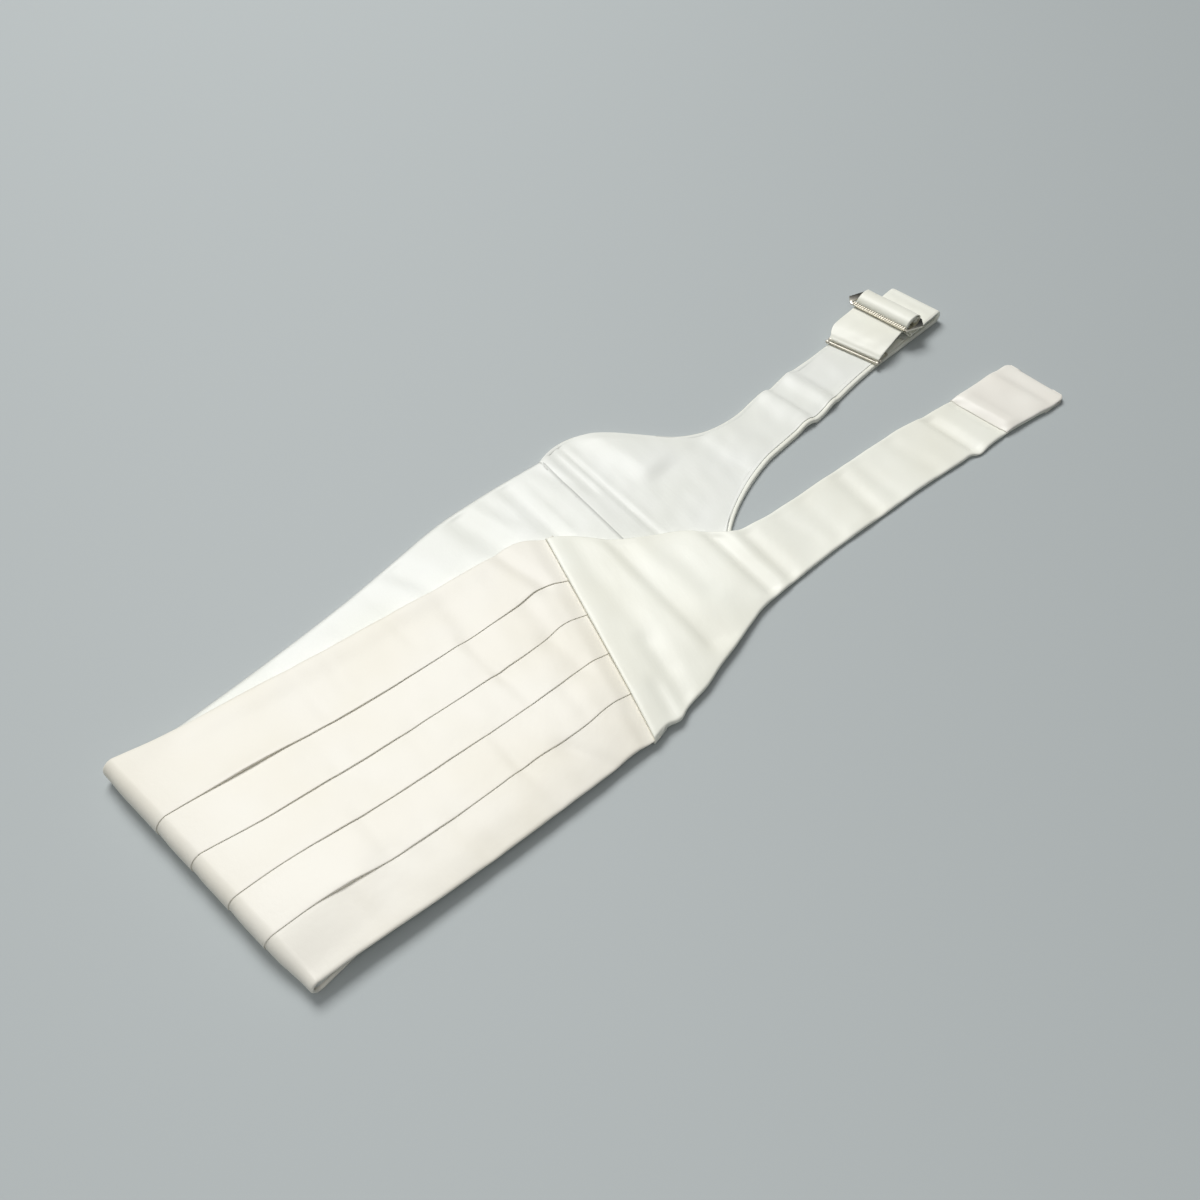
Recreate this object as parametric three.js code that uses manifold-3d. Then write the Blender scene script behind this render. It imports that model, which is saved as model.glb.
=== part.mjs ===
// A pleated satin cummerbund, folded in half at the front and laid flat.
//
// Frame: millimetres, +Z up. X runs from the fold towards the strap ends, Y across.
// The origin is on the resting surface, under the middle of the object's box.
//
// The front panel is five overlapping pleats over one lining. Both go round the fold, so each
// is one C-shaped wall. The top half lies on the bottom half and turns a few degrees away from
// it; where it reaches past the bottom half it sinks to the surface. Each end of the front is
// sewn to a wing, which narrows to a strap. One strap ends in a stitched tab. The other turns
// back over itself through a slide and ends in a loop that carries a wire hook.
//
// Every cloth point is worked out from three values: s, the distance from the fold along its
// half; v, the place across it; and n, how far it stands out from the lining's inner face.

import * as THREE from 'three';
import Module from 'manifold-3d';
import { mergeVertices } from 'three/addons/utils/BufferGeometryUtils.js';

// ---- driving dimensions -------------------------------------------------------------------

const CLOTH = 1.0; // wall of one layer of lined satin
const GAP = 0.3; // clearance between pieces that touch
const SPREAD = THREE.MathUtils.degToRad(4.5); // each half turns this far off the X axis

const ROLL_INSIDE = 2.4; // inner radius of the front's fold
const ROLL_SKEW = 0.05; // the fold line leans this much in X for each mm of v
const OPEN_REACH = 85; // distance from the fold over which the halves close together
const REST_GAP = 0.4; // clearance between the halves where they have closed

const PLEAT_TUCK = 6; // depth that each pleat runs under the one above it
const PLEAT_RISE = 14; // width over which a pleat on the top half climbs to its folded edge
const PRESSED_RISE = 5; // the same on the bottom half, which its own weight presses flat
const EDGE_ROUND = 4; // width of the turned outer edges of the front

const SEAM_BULK = 25; // distance over which the thickness of the side seam fades out
const SINK_WIDTH = 14; // width of the slope where the top half sinks to the surface
const SINK_START = 4; // distance past the bottom half's edge at which that slope starts

const LINING_INSET = 3; // the wing linings stop short of the outer cloth by this much
const TAB_FIRST_ROW = 15; // the row of the top wing's table where its stitched tab starts

const ORIGIN = { x: 229.0, y: 5.8 }; // middle of the object's box, from the fold's centre

// Layers, as distances out from the inner face of the front lining.
const LOW_PLEAT = CLOTH + GAP + CLOTH; // outer face of a pleat where it is tucked under
const HIGH_PLEAT = LOW_PLEAT + GAP + CLOTH; // outer face of a pleat at its folded edge
const FRONT_THICKNESS = HIGH_PLEAT;
const WING_THICKNESS = CLOTH + GAP + CLOTH;
const ROLL_HEIGHT = ROLL_INSIDE + FRONT_THICKNESS; // height of the fold's axis

// Lines across the front at fractions t of the way from the fold to the side seam: the far
// edge, the four folded edges of the pleats, and the near edge.
const TOP_FRONT = [
  { t: 0.0, far: 66.4, p1: 28.0, p2: 6.0, p3: -16.0, p4: -37.5, near: -61.5 },
  { t: 0.1, far: 63.4, p1: 28.3, p2: 5.8, p3: -15.8, p4: -37.0, near: -60.4 },
  { t: 0.3, far: 62.2, p1: 27.5, p2: 4.7, p3: -16.8, p4: -38.6, near: -60.8 },
  { t: 0.5, far: 59.8, p1: 26.2, p2: 4.2, p3: -17.2, p4: -38.8, near: -60.6 },
  { t: 0.7, far: 57.6, p1: 26.3, p2: 3.9, p3: -17.6, p4: -37.9, near: -60.0 },
  { t: 0.85, far: 57.3, p1: 27.3, p2: 4.9, p3: -16.5, p4: -37.2, near: -59.2 },
  { t: 0.94, far: 57.6, p1: 28.6, p2: 6.8, p3: -15.4, p4: -36.3, near: -59.4 },
  { t: 1.0, far: 53.0, p1: 26.2, p2: 5.6, p3: -16.0, p4: -37.0, near: -60.5 },
];
const BOTTOM_FRONT = [
  { t: 0.0, far: 66.6, p1: 28.0, p2: 6.0, p3: -16.0, p4: -37.5, near: -62.5 },
  { t: 0.3, far: 64.8, p1: 27.8, p2: 5.8, p3: -16.2, p4: -38.0, near: -61.5 },
  { t: 0.5, far: 65.4, p1: 28.2, p2: 6.0, p3: -16.2, p4: -38.0, near: -61.0 },
  { t: 0.63, far: 67.4, p1: 28.8, p2: 6.4, p3: -16.0, p4: -37.6, near: -60.6 },
  { t: 0.72, far: 68.8, p1: 29.4, p2: 6.8, p3: -15.6, p4: -37.2, near: -60.4 },
  { t: 0.85, far: 67.0, p1: 29.0, p2: 6.6, p3: -15.6, p4: -37.0, near: -60.2 },
  { t: 1.0, far: 62.5, p1: 27.6, p2: 6.0, p3: -15.8, p4: -36.8, near: -60.0 },
];
// The side seams slant: s at the middle of the panel, and how s grows with v.
const TOP_SEAM = { middle: 180.5, slant: 0.364 };
const BOTTOM_SEAM = { middle: 226.4, slant: 0.17 };

// Sections across each wing and strap, from the side seam outwards: s and v of the far end of
// the section, then of its near end.
const TOP_WING = [
  { farS: 199.8, far: 53.0, nearS: 158.5, near: -60.5 },
  { farS: 207.0, far: 49.0, nearS: 169.0, near: -57.6 },
  { farS: 214.0, far: 43.0, nearS: 181.0, near: -56.2 },
  { farS: 221.0, far: 36.0, nearS: 194.0, near: -53.0 },
  { farS: 230.0, far: 29.0, nearS: 206.0, near: -48.8 },
  { farS: 240.0, far: 23.5, nearS: 219.0, near: -45.0 },
  { farS: 249.0, far: 18.0, nearS: 232.0, near: -40.6 },
  { farS: 257.0, far: 11.0, nearS: 243.0, near: -37.2 },
  { farS: 266.0, far: 5.0, nearS: 256.0, near: -35.5 },
  { farS: 280.0, far: 2.2, nearS: 272.0, near: -34.0 },
  { farS: 297.0, far: 2.0, nearS: 292.0, near: -32.6 },
  { farS: 330.0, far: 2.6, nearS: 328.0, near: -31.8 },
  { farS: 360.0, far: 3.7, nearS: 359.0, near: -30.8 },
  { farS: 389.0, far: 3.2, nearS: 389.0, near: -31.6 },
  { farS: 404.0, far: 2.2, nearS: 404.0, near: -33.9 },
  { farS: 418.0, far: 1.2, nearS: 418.0, near: -32.8 },
  { farS: 441.0, far: 1.3, nearS: 440.0, near: -34.0 },
  { farS: 457.0, far: 1.0, nearS: 455.0, near: -34.8 },
  { farS: 461.0, far: 0.0, nearS: 459.0, near: -33.8 },
  { farS: 463.0, far: -3.0, nearS: 461.0, near: -31.0 },
];
const BOTTOM_WING = [
  { farS: 237.0, far: 62.5, nearS: 216.2, near: -60.0 },
  { farS: 248.0, far: 65.0, nearS: 230.0, near: -57.0 },
  { farS: 258.0, far: 63.0, nearS: 242.0, near: -53.0 },
  { farS: 267.0, far: 58.4, nearS: 252.0, near: -47.5 },
  { farS: 275.0, far: 51.0, nearS: 261.0, near: -41.0 },
  { farS: 282.0, far: 42.5, nearS: 270.0, near: -35.0 },
  { farS: 289.0, far: 33.5, nearS: 281.0, near: -29.8 },
  { farS: 296.0, far: 25.0, nearS: 293.0, near: -25.8 },
  { farS: 305.0, far: 18.3, nearS: 305.0, near: -22.5 },
  { farS: 316.0, far: 13.8, nearS: 317.0, near: -20.6 },
  { farS: 330.0, far: 11.6, nearS: 331.0, near: -20.3 },
  { farS: 350.0, far: 13.2, nearS: 350.0, near: -19.8 },
  { farS: 369.0, far: 12.0, nearS: 369.0, near: -20.6 },
  { farS: 394.0, far: 9.8, nearS: 394.0, near: -19.5 },
  { farS: 410.0, far: 9.2, nearS: 410.0, near: -19.4 },
  { farS: 435.0, far: 8.5, nearS: 435.0, near: -21.4 },
  { farS: 464.6, far: 7.4, nearS: 464.6, near: -23.6 },
];

// The adjuster at the end of the bottom strap.
const TURN = { s: 464.6, z: 3.9 }; // axis that the strap turns back round
const RETURN_END = 439.2; // the returned strap stops here, under the slide
const RETURN = { far: 7.2, near: -23.2 }; // its edges
const SLIDE = {
  s: 444.2, // middle of the slide along the strap
  v: -2.5, // and across it
  z: 9.6, // underside
  plate: 1.2,
  length: 44.4, // point to point
  pointShift: 2.8, // the far point is this much towards the front, the near one towards the back
  shoulder: 36.6, // length of its straight sides
  depth: 14.6,
  windowLength: 35.0,
  windowDepth: 4.0,
  windowOffset: 3.1, // from the middle of the slide to the middle of each window
  turn: THREE.MathUtils.degToRad(-1.6),
};
const GRIP = { ribs: 22, pitch: 1.5, rib: 0.9, height: 0.5, root: 0.7, depth: 2.0, clearance: 0.3 };
const STRAP_ROLL = { length: 34.4, halfDepth: 4.8, bottom: 8.1, top: 14.2, wall: 1.1 };
const CROSS_SKEW = 0.1; // the loop, its hook and the strap's end lean this much in s for each mm of v
const HOOK_LOOP = {
  turnS: 413.7, // axis of the turn that holds the hook
  end: 438.3,
  z: 4.6,
  rise: 1.2, // climb of the upper layer from the turn to the slide
  inside: 1.0, // inner radius of the turn
  near: -18.8,
  frontFar: 9.4, // far edge at the turn
  far: 14.0, // and where the loop has flared
  flare: 8, // length of the flare
};
const HOOK = { front: 408.2, second: 410.5, rear: 420.0, far: 10.5, near: -20.7, wire: 1.4, knob: 2.2 };

// ---- small helpers ------------------------------------------------------------------------

const fractions = (count) => Array.from({ length: count }, (_, i) => i / (count - 1));
const smooth = (x) => THREE.MathUtils.smoothstep(x, 0, 1);
const lerp = THREE.MathUtils.lerp;

// A smooth curve through one column of a table, read at a value of the table's key column.
function read(table, key, column, at) {
  const last = table.length - 1;
  const slope = (i) => {
    const before = table[Math.max(i - 1, 0)];
    const after = table[Math.min(i + 1, last)];
    return (after[column] - before[column]) / (after[key] - before[key]);
  };
  let i = 0;
  while (i < last - 1 && at > table[i + 1][key]) i += 1;
  const width = table[i + 1][key] - table[i][key];
  const u = THREE.MathUtils.clamp((at - table[i][key]) / width, 0, 1);
  const start = table[i][column] * (1 + 2 * u) + slope(i) * width * u;
  const end = table[i + 1][column] * (3 - 2 * u) - slope(i + 1) * width * (1 - u);
  return start * (1 - u) ** 2 + end * u ** 2;
}

// A closed wall between two grids of points that match row for row and column for column.
function wall(outer, inner) {
  const rows = outer.length;
  const columns = outer[0].length;
  const at = (face, row, column) => (face * rows + row) * columns + column;
  const triangles = [];
  const quad = (a, b, c, d) => triangles.push([a, b, c], [a, c, d]);
  for (let row = 0; row < rows - 1; row += 1) {
    for (let column = 0; column < columns - 1; column += 1) {
      quad(at(0, row, column), at(0, row + 1, column), at(0, row + 1, column + 1), at(0, row, column + 1));
      quad(at(1, row, column), at(1, row, column + 1), at(1, row + 1, column + 1), at(1, row + 1, column));
    }
    const end = columns - 1;
    quad(at(0, row, 0), at(1, row, 0), at(1, row + 1, 0), at(0, row + 1, 0));
    quad(at(0, row, end), at(0, row + 1, end), at(1, row + 1, end), at(1, row, end));
  }
  for (let column = 0; column < columns - 1; column += 1) {
    const end = rows - 1;
    quad(at(0, 0, column), at(0, 0, column + 1), at(1, 0, column + 1), at(1, 0, column));
    quad(at(0, end, column), at(1, end, column), at(1, end, column + 1), at(0, end, column + 1));
  }
  const points = [...outer.flat(), ...inner.flat()];
  const volume = triangles.reduce(
    (sum, [a, b, c]) => sum + points[a].dot(points[b].clone().cross(points[c])), 0);
  const facing = volume < 0 ? triangles.map(([a, b, c]) => [a, c, b]) : triangles;
  const geometry = new THREE.BufferGeometry();
  geometry.setAttribute('position', new THREE.Float32BufferAttribute(points.flatMap((p) => p.toArray()), 3));
  geometry.setIndex(facing.flat());
  return geometry;
}

// Solids for joining and cutting, and the mesh of the result.
const wasm = await Module();
wasm.setup();

function solid(geometry) {
  geometry.deleteAttribute('normal');
  geometry.deleteAttribute('uv');
  const merged = mergeVertices(geometry, 1e-4);
  return new wasm.Manifold(new wasm.Mesh({
    numProp: 3,
    vertProperties: merged.attributes.position.array,
    triVerts: new Uint32Array(merged.index.array),
  }));
}

function meshOf(manifold) {
  const mesh = manifold.getMesh();
  const geometry = new THREE.BufferGeometry();
  geometry.setAttribute('position', new THREE.Float32BufferAttribute(mesh.vertProperties, 3));
  geometry.setIndex(Array.from(mesh.triVerts));
  return geometry;
}

// Plan position of (s, v) on a half that turns by the given angle.
const plan = (turn, s, v) => ({ x: s * Math.cos(turn), y: v + s * Math.sin(turn) });

// ---- heights ------------------------------------------------------------------------------

const topSeam = (v) => TOP_SEAM.middle + TOP_SEAM.slant * v;
const bottomSeam = (v) => BOTTOM_SEAM.middle + BOTTOM_SEAM.slant * v;

// Top face of the bottom half's wing lining, which is thick at the side seam.
const bottomWingTop = (s, v) =>
  lerp(FRONT_THICKNESS, WING_THICKNESS, smooth((s - bottomSeam(v)) / SEAM_BULK));

function bottomNearEdge(s) {
  const corner = BOTTOM_WING[0].nearS;
  if (s < corner) return read(BOTTOM_FRONT, 't', 'near', s / corner);
  return read(BOTTOM_WING, 'nearS', 'near', s);
}

// Height of the underside of the top half: it lies on the bottom half, stands open near the
// fold, and sinks to the surface past the bottom half's near edge.
function topBase(x, y) {
  const s = x / Math.cos(SPREAD);
  const v = y - s * Math.sin(SPREAD);
  const bed = s < bottomSeam(v) ? FRONT_THICKNESS : bottomWingTop(s, v);
  const open = (2 * ROLL_INSIDE - REST_GAP) * (1 - smooth(s / OPEN_REACH));
  const past = bottomNearEdge(s) - SINK_START - v;
  return (bed + REST_GAP + open) * (1 - smooth(past / SINK_WIDTH));
}

// ---- front panel --------------------------------------------------------------------------

const TOP_STATIONS = [1, 0.94, 0.86, 0.74, 0.62, 0.5, 0.4, 0.3, 0.2, 0.11, 0.04, 0];
const ROLL_ANGLES = [60, 30, 0, -30, -60];
const BOTTOM_STATIONS = [0, 0.12, 0.3, 0.5, 0.63, 0.74, 0.87, 1];
const FRONT_STATIONS = [
  ...TOP_STATIONS.map((t) => ({ half: 'top', t, share: 1 })),
  ...ROLL_ANGLES.map((angle) => ({ half: 'roll', t: 0, angle, share: 0.5 + angle / 180 })),
  ...BOTTOM_STATIONS.map((t) => ({ half: 'bottom', t, share: 0 })),
];

// A line of the front panel at a station: v of the far edge, a folded edge or the near edge.
function frontLine(station, name) {
  const top = read(TOP_FRONT, 't', name, station.t);
  const bottom = read(BOTTOM_FRONT, 't', name, station.t);
  return lerp(bottom, top, station.share);
}

function frontPoint(station, v, n) {
  const turn = SPREAD * (1 - 2 * station.share);
  const axis = -ROLL_SKEW * v;
  if (station.half === 'roll') {
    const angle = THREE.MathUtils.degToRad(station.angle);
    const radius = ROLL_INSIDE + n;
    const y = plan(turn, axis, v).y;
    return new THREE.Vector3(axis - radius * Math.cos(angle), y, ROLL_HEIGHT + radius * Math.sin(angle));
  }
  const seam = station.half === 'top' ? topSeam(v) : bottomSeam(v);
  const { x, y } = plan(turn, lerp(axis, seam - GAP / 2, station.t), v);
  const z = station.half === 'top' ? topBase(x, y) + n : FRONT_THICKNESS - n;
  return new THREE.Vector3(x, y, z);
}

// A pleat's section: v and n of its outer face and of its inner face, from its far side.
function pleatSection(station, index) {
  const lines = ['far', 'p1', 'p2', 'p3', 'p4', 'near'].map((name) => frontLine(station, name));
  const [start, end] = [lines[index - 1], lines[index]];
  const rise = lerp(PRESSED_RISE, PLEAT_RISE, station.share);
  const flat = (v, outer) => ({ v, outer, inside: v, inner: outer - CLOTH });
  const turned = (edge, side) => [
    { v: edge, outer: GAP + 0.2, inside: edge + side * CLOTH, inner: GAP + 0.2 },
    { v: edge, outer: 2.0, inside: edge + side * CLOTH, inner: 1.6 },
    { v: edge + side * 1.3, outer: 3.2, inside: edge + side * 1.9, inner: 2.4 },
    flat(edge + side * EDGE_ROUND, HIGH_PLEAT),
  ];
  const section = index === 1 ? turned(start, -1) : [
    flat(start + PLEAT_TUCK, LOW_PLEAT),
    flat(start - GAP, LOW_PLEAT),
    flat(start - GAP - rise / 2, (LOW_PLEAT + HIGH_PLEAT) / 2),
    flat(start - GAP - rise, HIGH_PLEAT),
  ];
  if (index < 5) return [...section, flat(end, HIGH_PLEAT)];
  return [...section, ...turned(end, 1).reverse()];
}

function pleat(index) {
  const outer = [];
  const inner = [];
  for (const station of FRONT_STATIONS) {
    const section = pleatSection(station, index);
    outer.push(section.map((p) => frontPoint(station, p.v, p.outer)));
    inner.push(section.map((p) => frontPoint(station, p.inside, p.inner)));
  }
  return wall(outer, inner);
}

function frontLining() {
  const outer = [];
  const inner = [];
  for (const station of FRONT_STATIONS) {
    const far = frontLine(station, 'far') - CLOTH - GAP;
    const near = frontLine(station, 'near') + CLOTH + GAP;
    const folds = ['p1', 'p2', 'p3'].map((name) => frontLine(station, name));
    const last = frontLine(station, 'p4');
    const sloping = [0.33, 0.6, 0.82, 1].map((share) => lerp(last, near, share));
    const across = [far, ...folds, last + PLEAT_TUCK, last - GAP, ...sloping];
    outer.push(across.map((v) => frontPoint(station, v, CLOTH)));
    inner.push(across.map((v) => frontPoint(station, v, 0)));
  }
  return wall(outer, inner);
}

// ---- wings and straps ---------------------------------------------------------------------

// Points of a wing's section from its near end to its far end, as s and v. The lining takes the
// inner ones, so it stops short of the outer cloth and matches it everywhere else.
function wingSection(row, count, layer) {
  const width = Math.hypot(row.far - row.near, row.farS - row.nearS);
  const inset = LINING_INSET / width;
  const inner = fractions(count).map((across) => lerp(inset, 1 - inset, across));
  const shares = layer === 'lining' ? inner : [0, ...inner, 1];
  return shares.map((share) => ({
    s: lerp(row.nearS, row.farS, share),
    v: lerp(row.near, row.far, share),
  }));
}

// Outer cloth or lining of the top half's wing and strap. The first row is the side seam.
function topWing(layer) {
  const rows = layer === 'lining' ? TOP_WING.slice(0, -2) : TOP_WING;
  const outer = [];
  const inner = [];
  rows.forEach((row, i) => {
    const points = wingSection(row, 12, layer).map(({ s, v }) => {
      const { x, y } = plan(-SPREAD, s + (i === 0 ? GAP / 2 : 0), v);
      const bulk = lerp(HIGH_PLEAT, WING_THICKNESS, smooth((s - topSeam(v)) / SEAM_BULK));
      const face = layer === 'lining' ? CLOTH : bulk;
      return { x, y, z: topBase(x, y) + face };
    });
    outer.push(points.map((p) => new THREE.Vector3(p.x, p.y, p.z)));
    inner.push(points.map((p) => new THREE.Vector3(p.x, p.y, p.z - CLOTH)));
  });
  return wall(outer, inner);
}

// The tab that ends the top strap: cloth turned over the strap's end and stitched down.
function strapTab() {
  const inner = TOP_WING.slice(TAB_FIRST_ROW).map((row) => wingSection(row, 3, 'outer').map(({ s, v }) => {
    const { x, y } = plan(-SPREAD, s, v);
    return new THREE.Vector3(x, y, WING_THICKNESS + GAP);
  }));
  const outer = inner.map((row) => row.map((p) => p.clone().setZ(p.z + CLOTH)));
  return wall(outer, inner);
}

// Outer cloth or lining of the bottom half's wing and strap, with the strap turned back.
// The outer cloth lies face down, so after the turn it is the upper layer.
function bottomWing(layer) {
  const lining = layer === 'lining';
  const outer = [];
  const inner = [];
  BOTTOM_WING.forEach((row, i) => {
    const points = wingSection(row, 6, layer).map(({ s, v }) => {
      const { x, y } = plan(SPREAD, s + (i === 0 ? GAP / 2 : 0), v);
      return { x, y, z: lining ? bottomWingTop(s, v) : CLOTH };
    });
    outer.push(points.map((p) => new THREE.Vector3(p.x, p.y, p.z - CLOTH)));
    inner.push(points.map((p) => new THREE.Vector3(p.x, p.y, p.z)));
  });
  const end = BOTTOM_WING[BOTTOM_WING.length - 1];
  const radius = lining ? TURN.z - CLOTH - GAP : TURN.z;
  const turned = [-60, -30, 0, 30, 60, 90].map((angle) => {
    const a = THREE.MathUtils.degToRad(angle);
    return { s: TURN.s, out: Math.cos(a), up: Math.sin(a) };
  });
  const returned = [TURN.s - 10, RETURN_END].map((s) => ({ s, out: 0, up: 1 }));
  for (const step of [...turned, ...returned]) {
    const back = smooth((TURN.s - step.s) / (TURN.s - RETURN_END));
    const row = {
      farS: step.s - CROSS_SKEW * back * RETURN.far,
      far: lerp(end.far, RETURN.far, back),
      nearS: step.s - CROSS_SKEW * back * RETURN.near,
      near: lerp(end.near, RETURN.near, back),
    };
    const points = (r) => wingSection(row, 6, layer).map(({ s, v }) => {
      const { x, y } = plan(SPREAD, s + r * step.out, v);
      return new THREE.Vector3(x, y, TURN.z + r * step.up);
    });
    outer.push(points(radius));
    inner.push(points(radius - CLOTH));
  }
  return wall(outer, inner);
}

// ---- adjuster -----------------------------------------------------------------------------

// The doubled strap end that holds the hook: a lower layer, a turn, and an upper layer that
// climbs to the slide.
function hookLoop() {
  const { turnS, end, rise, inside, near, frontFar, far, flare } = HOOK_LOOP;
  const outside = inside + CLOTH;
  const arc = (angle) => {
    const a = THREE.MathUtils.degToRad(angle);
    const on = (r) => ({ s: turnS - r * Math.cos(a), z: HOOK_LOOP.z + r * Math.sin(a) });
    return { outer: on(outside), inner: on(inside) };
  };
  const flat = (s, lift, side) => ({
    outer: { s, z: HOOK_LOOP.z + side * outside + lift },
    inner: { s, z: HOOK_LOOP.z + side * inside + lift },
  });
  const section = [
    flat(end, 0, -1),
    flat(turnS + flare, 0, -1),
    flat(turnS + flare / 2, 0, -1),
    ...[-90, -60, -30, 0, 30, 60, 90].map(arc),
    flat(turnS + flare / 2, rise * 0.1, 1),
    flat(turnS + flare, rise * 0.25, 1),
    flat(lerp(turnS, end, 0.7), rise * 0.8, 1),
    flat(end, rise, 1),
  ];
  const side = (s) => lerp(frontFar, far, smooth((s - turnS) / flare));
  const points = (face) => section.map((p) => [near, side(p[face].s)].map((v) => {
    const { x, y } = plan(SPREAD, p[face].s - CROSS_SKEW * v, v);
    return new THREE.Vector3(x, y, p[face].z);
  }));
  return wall(points('outer'), points('inner'));
}

// Turns a geometry made round the slide's own middle and sets it in its place on the strap.
function onSlide(geometry, height) {
  const { x, y } = plan(SPREAD, SLIDE.s, SLIDE.v);
  return geometry.rotateZ(SPREAD + SLIDE.turn).translate(x, y, height);
}

// The slide: a flat plate with a point at each end, a bar across its middle and two windows.
function slideFrame() {
  const { length, pointShift, shoulder, depth, plate } = SLIDE;
  const { windowLength, windowDepth, windowOffset } = SLIDE;
  const shape = new THREE.Shape();
  shape.moveTo(-pointShift, length / 2);
  shape.lineTo(-depth / 2, shoulder / 2);
  shape.lineTo(-depth / 2, -shoulder / 2);
  shape.lineTo(pointShift, -length / 2);
  shape.lineTo(depth / 2, -shoulder / 2);
  shape.lineTo(depth / 2, shoulder / 2);
  shape.closePath();
  const blank = solid(new THREE.ExtrudeGeometry(shape, { depth: plate, bevelEnabled: false }));
  const windows = [-1, 1].map((side) => {
    const box = new THREE.BoxGeometry(windowDepth, windowLength, 3 * plate);
    return solid(box.translate(side * windowOffset, 0, 0));
  });
  return onSlide(meshOf(windows.reduce((whole, window) => whole.subtract(window), blank)), SLIDE.z);
}

// The ribbed strip on the slide's front bar, which grips the cloth.
function slideGrip() {
  const front = -SLIDE.depth / 2;
  const shape = new THREE.Shape();
  const start = -(GRIP.ribs * GRIP.pitch) / 2;
  shape.moveTo(start, 0);
  shape.lineTo(-start, 0);
  for (let i = GRIP.ribs - 1; i >= 0; i -= 1) {
    const left = start + i * GRIP.pitch;
    shape.lineTo(left + GRIP.pitch, GRIP.root);
    shape.lineTo(left + GRIP.rib, GRIP.root);
    shape.lineTo(left + GRIP.rib, GRIP.root + GRIP.height);
    shape.lineTo(left, GRIP.root + GRIP.height);
  }
  shape.lineTo(start, GRIP.root);
  shape.closePath();
  const geometry = new THREE.ExtrudeGeometry(shape, { depth: GRIP.depth, bevelEnabled: false });
  geometry.rotateX(Math.PI / 2);
  geometry.rotateZ(Math.PI / 2);
  geometry.translate(front, 0, 0);
  return onSlide(geometry, SLIDE.z + SLIDE.plate + GRIP.clearance);
}

// The strap's end, rolled round the slide's middle bar: an oval tube open at both ends.
function strapRoll() {
  const { length, halfDepth, bottom, top, wall: thick } = STRAP_ROLL;
  const oval = (Kind, across, low, high) => {
    const path = new Kind();
    path.absellipse(0, (low + high) / 2, across, (high - low) / 2, 0, 2 * Math.PI, false, 0);
    return path;
  };
  const shape = oval(THREE.Shape, halfDepth, bottom, top);
  shape.holes.push(oval(THREE.Path, halfDepth - thick, bottom + thick, top - thick));
  const settings = { depth: length, bevelEnabled: false, curveSegments: 10 };
  const geometry = new THREE.ExtrudeGeometry(shape, settings);
  geometry.translate(0, 0, -length / 2);
  geometry.rotateX(Math.PI / 2);
  return onSlide(geometry, 0);
}

// The hook: a closed wire frame whose rear bar lies in the cloth loop, a second bar beside the
// front one, and a small knob at each front corner, joined into one solid.
function hookRing() {
  const point = (s, v) => {
    const { x, y } = plan(SPREAD, s - CROSS_SKEW * v, v);
    return new THREE.Vector3(x, y, HOOK_LOOP.z);
  };
  const bar = (from, to) => {
    const geometry = new THREE.CylinderGeometry(HOOK.wire / 2, HOOK.wire / 2, from.distanceTo(to), 8);
    const direction = to.clone().sub(from).normalize();
    const turn = new THREE.Quaternion().setFromUnitVectors(new THREE.Vector3(0, 1, 0), direction);
    geometry.applyQuaternion(turn);
    geometry.translate(...from.clone().lerp(to, 0.5).toArray());
    return solid(geometry);
  };
  const ball = (at, diameter) => {
    const geometry = new THREE.SphereGeometry(diameter / 2, 10, 8);
    geometry.translate(...at.toArray());
    return solid(geometry);
  };
  const { front, second, rear, far, near } = HOOK;
  const pieces = [
    bar(point(front, far), point(front, near)),
    bar(point(second, far), point(second, near)),
    bar(point(rear, far), point(rear, near)),
    bar(point(front, far), point(rear, far)),
    bar(point(front, near), point(rear, near)),
  ];
  for (const v of [far, near]) {
    pieces.push(ball(point(rear, v), HOOK.wire * 1.04));
    for (const s of [front, second]) pieces.push(ball(point(s, v), HOOK.knob));
  }
  return meshOf(pieces.reduce((whole, piece) => whole.add(piece)));
}

// ---- the part -----------------------------------------------------------------------------

const satin = (color, roughness) => new THREE.MeshStandardMaterial({ color, roughness, metalness: 0 });
const IVORY_SATIN = satin(0xf3efe4, 0.45); // pleats
const WHITE_SATIN = satin(0xeef0ea, 0.42); // wings and straps
const LINING_SATIN = satin(0xf1f3ef, 0.4); // linings
const STEEL = new THREE.MeshStandardMaterial({ color: 0xb9b6ae, roughness: 0.25, metalness: 1 });

const garment = new THREE.Group();
garment.position.set(-ORIGIN.x, -ORIGIN.y, 0);

function add(name, geometry, material) {
  const mesh = new THREE.Mesh(geometry, material);
  mesh.name = name;
  garment.add(mesh);
}

for (let index = 1; index <= 5; index += 1) add(`pleat_${index}`, pleat(index), IVORY_SATIN);
add('front_lining', frontLining(), LINING_SATIN);
add('tab_wing', topWing('outer'), WHITE_SATIN);
add('tab_wing_lining', topWing('lining'), LINING_SATIN);
add('strap_tab', strapTab(), WHITE_SATIN);
add('adjuster_wing', bottomWing('outer'), WHITE_SATIN);
add('adjuster_wing_lining', bottomWing('lining'), LINING_SATIN);
add('hook_loop', hookLoop(), WHITE_SATIN);
add('strap_roll', strapRoll(), WHITE_SATIN);
add('slide_frame', slideFrame(), STEEL);
add('slide_grip', slideGrip(), STEEL);
add('hook_ring', hookRing(), STEEL);

const cummerbund = new THREE.Group();
cummerbund.add(garment);

export default cummerbund;
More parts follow.
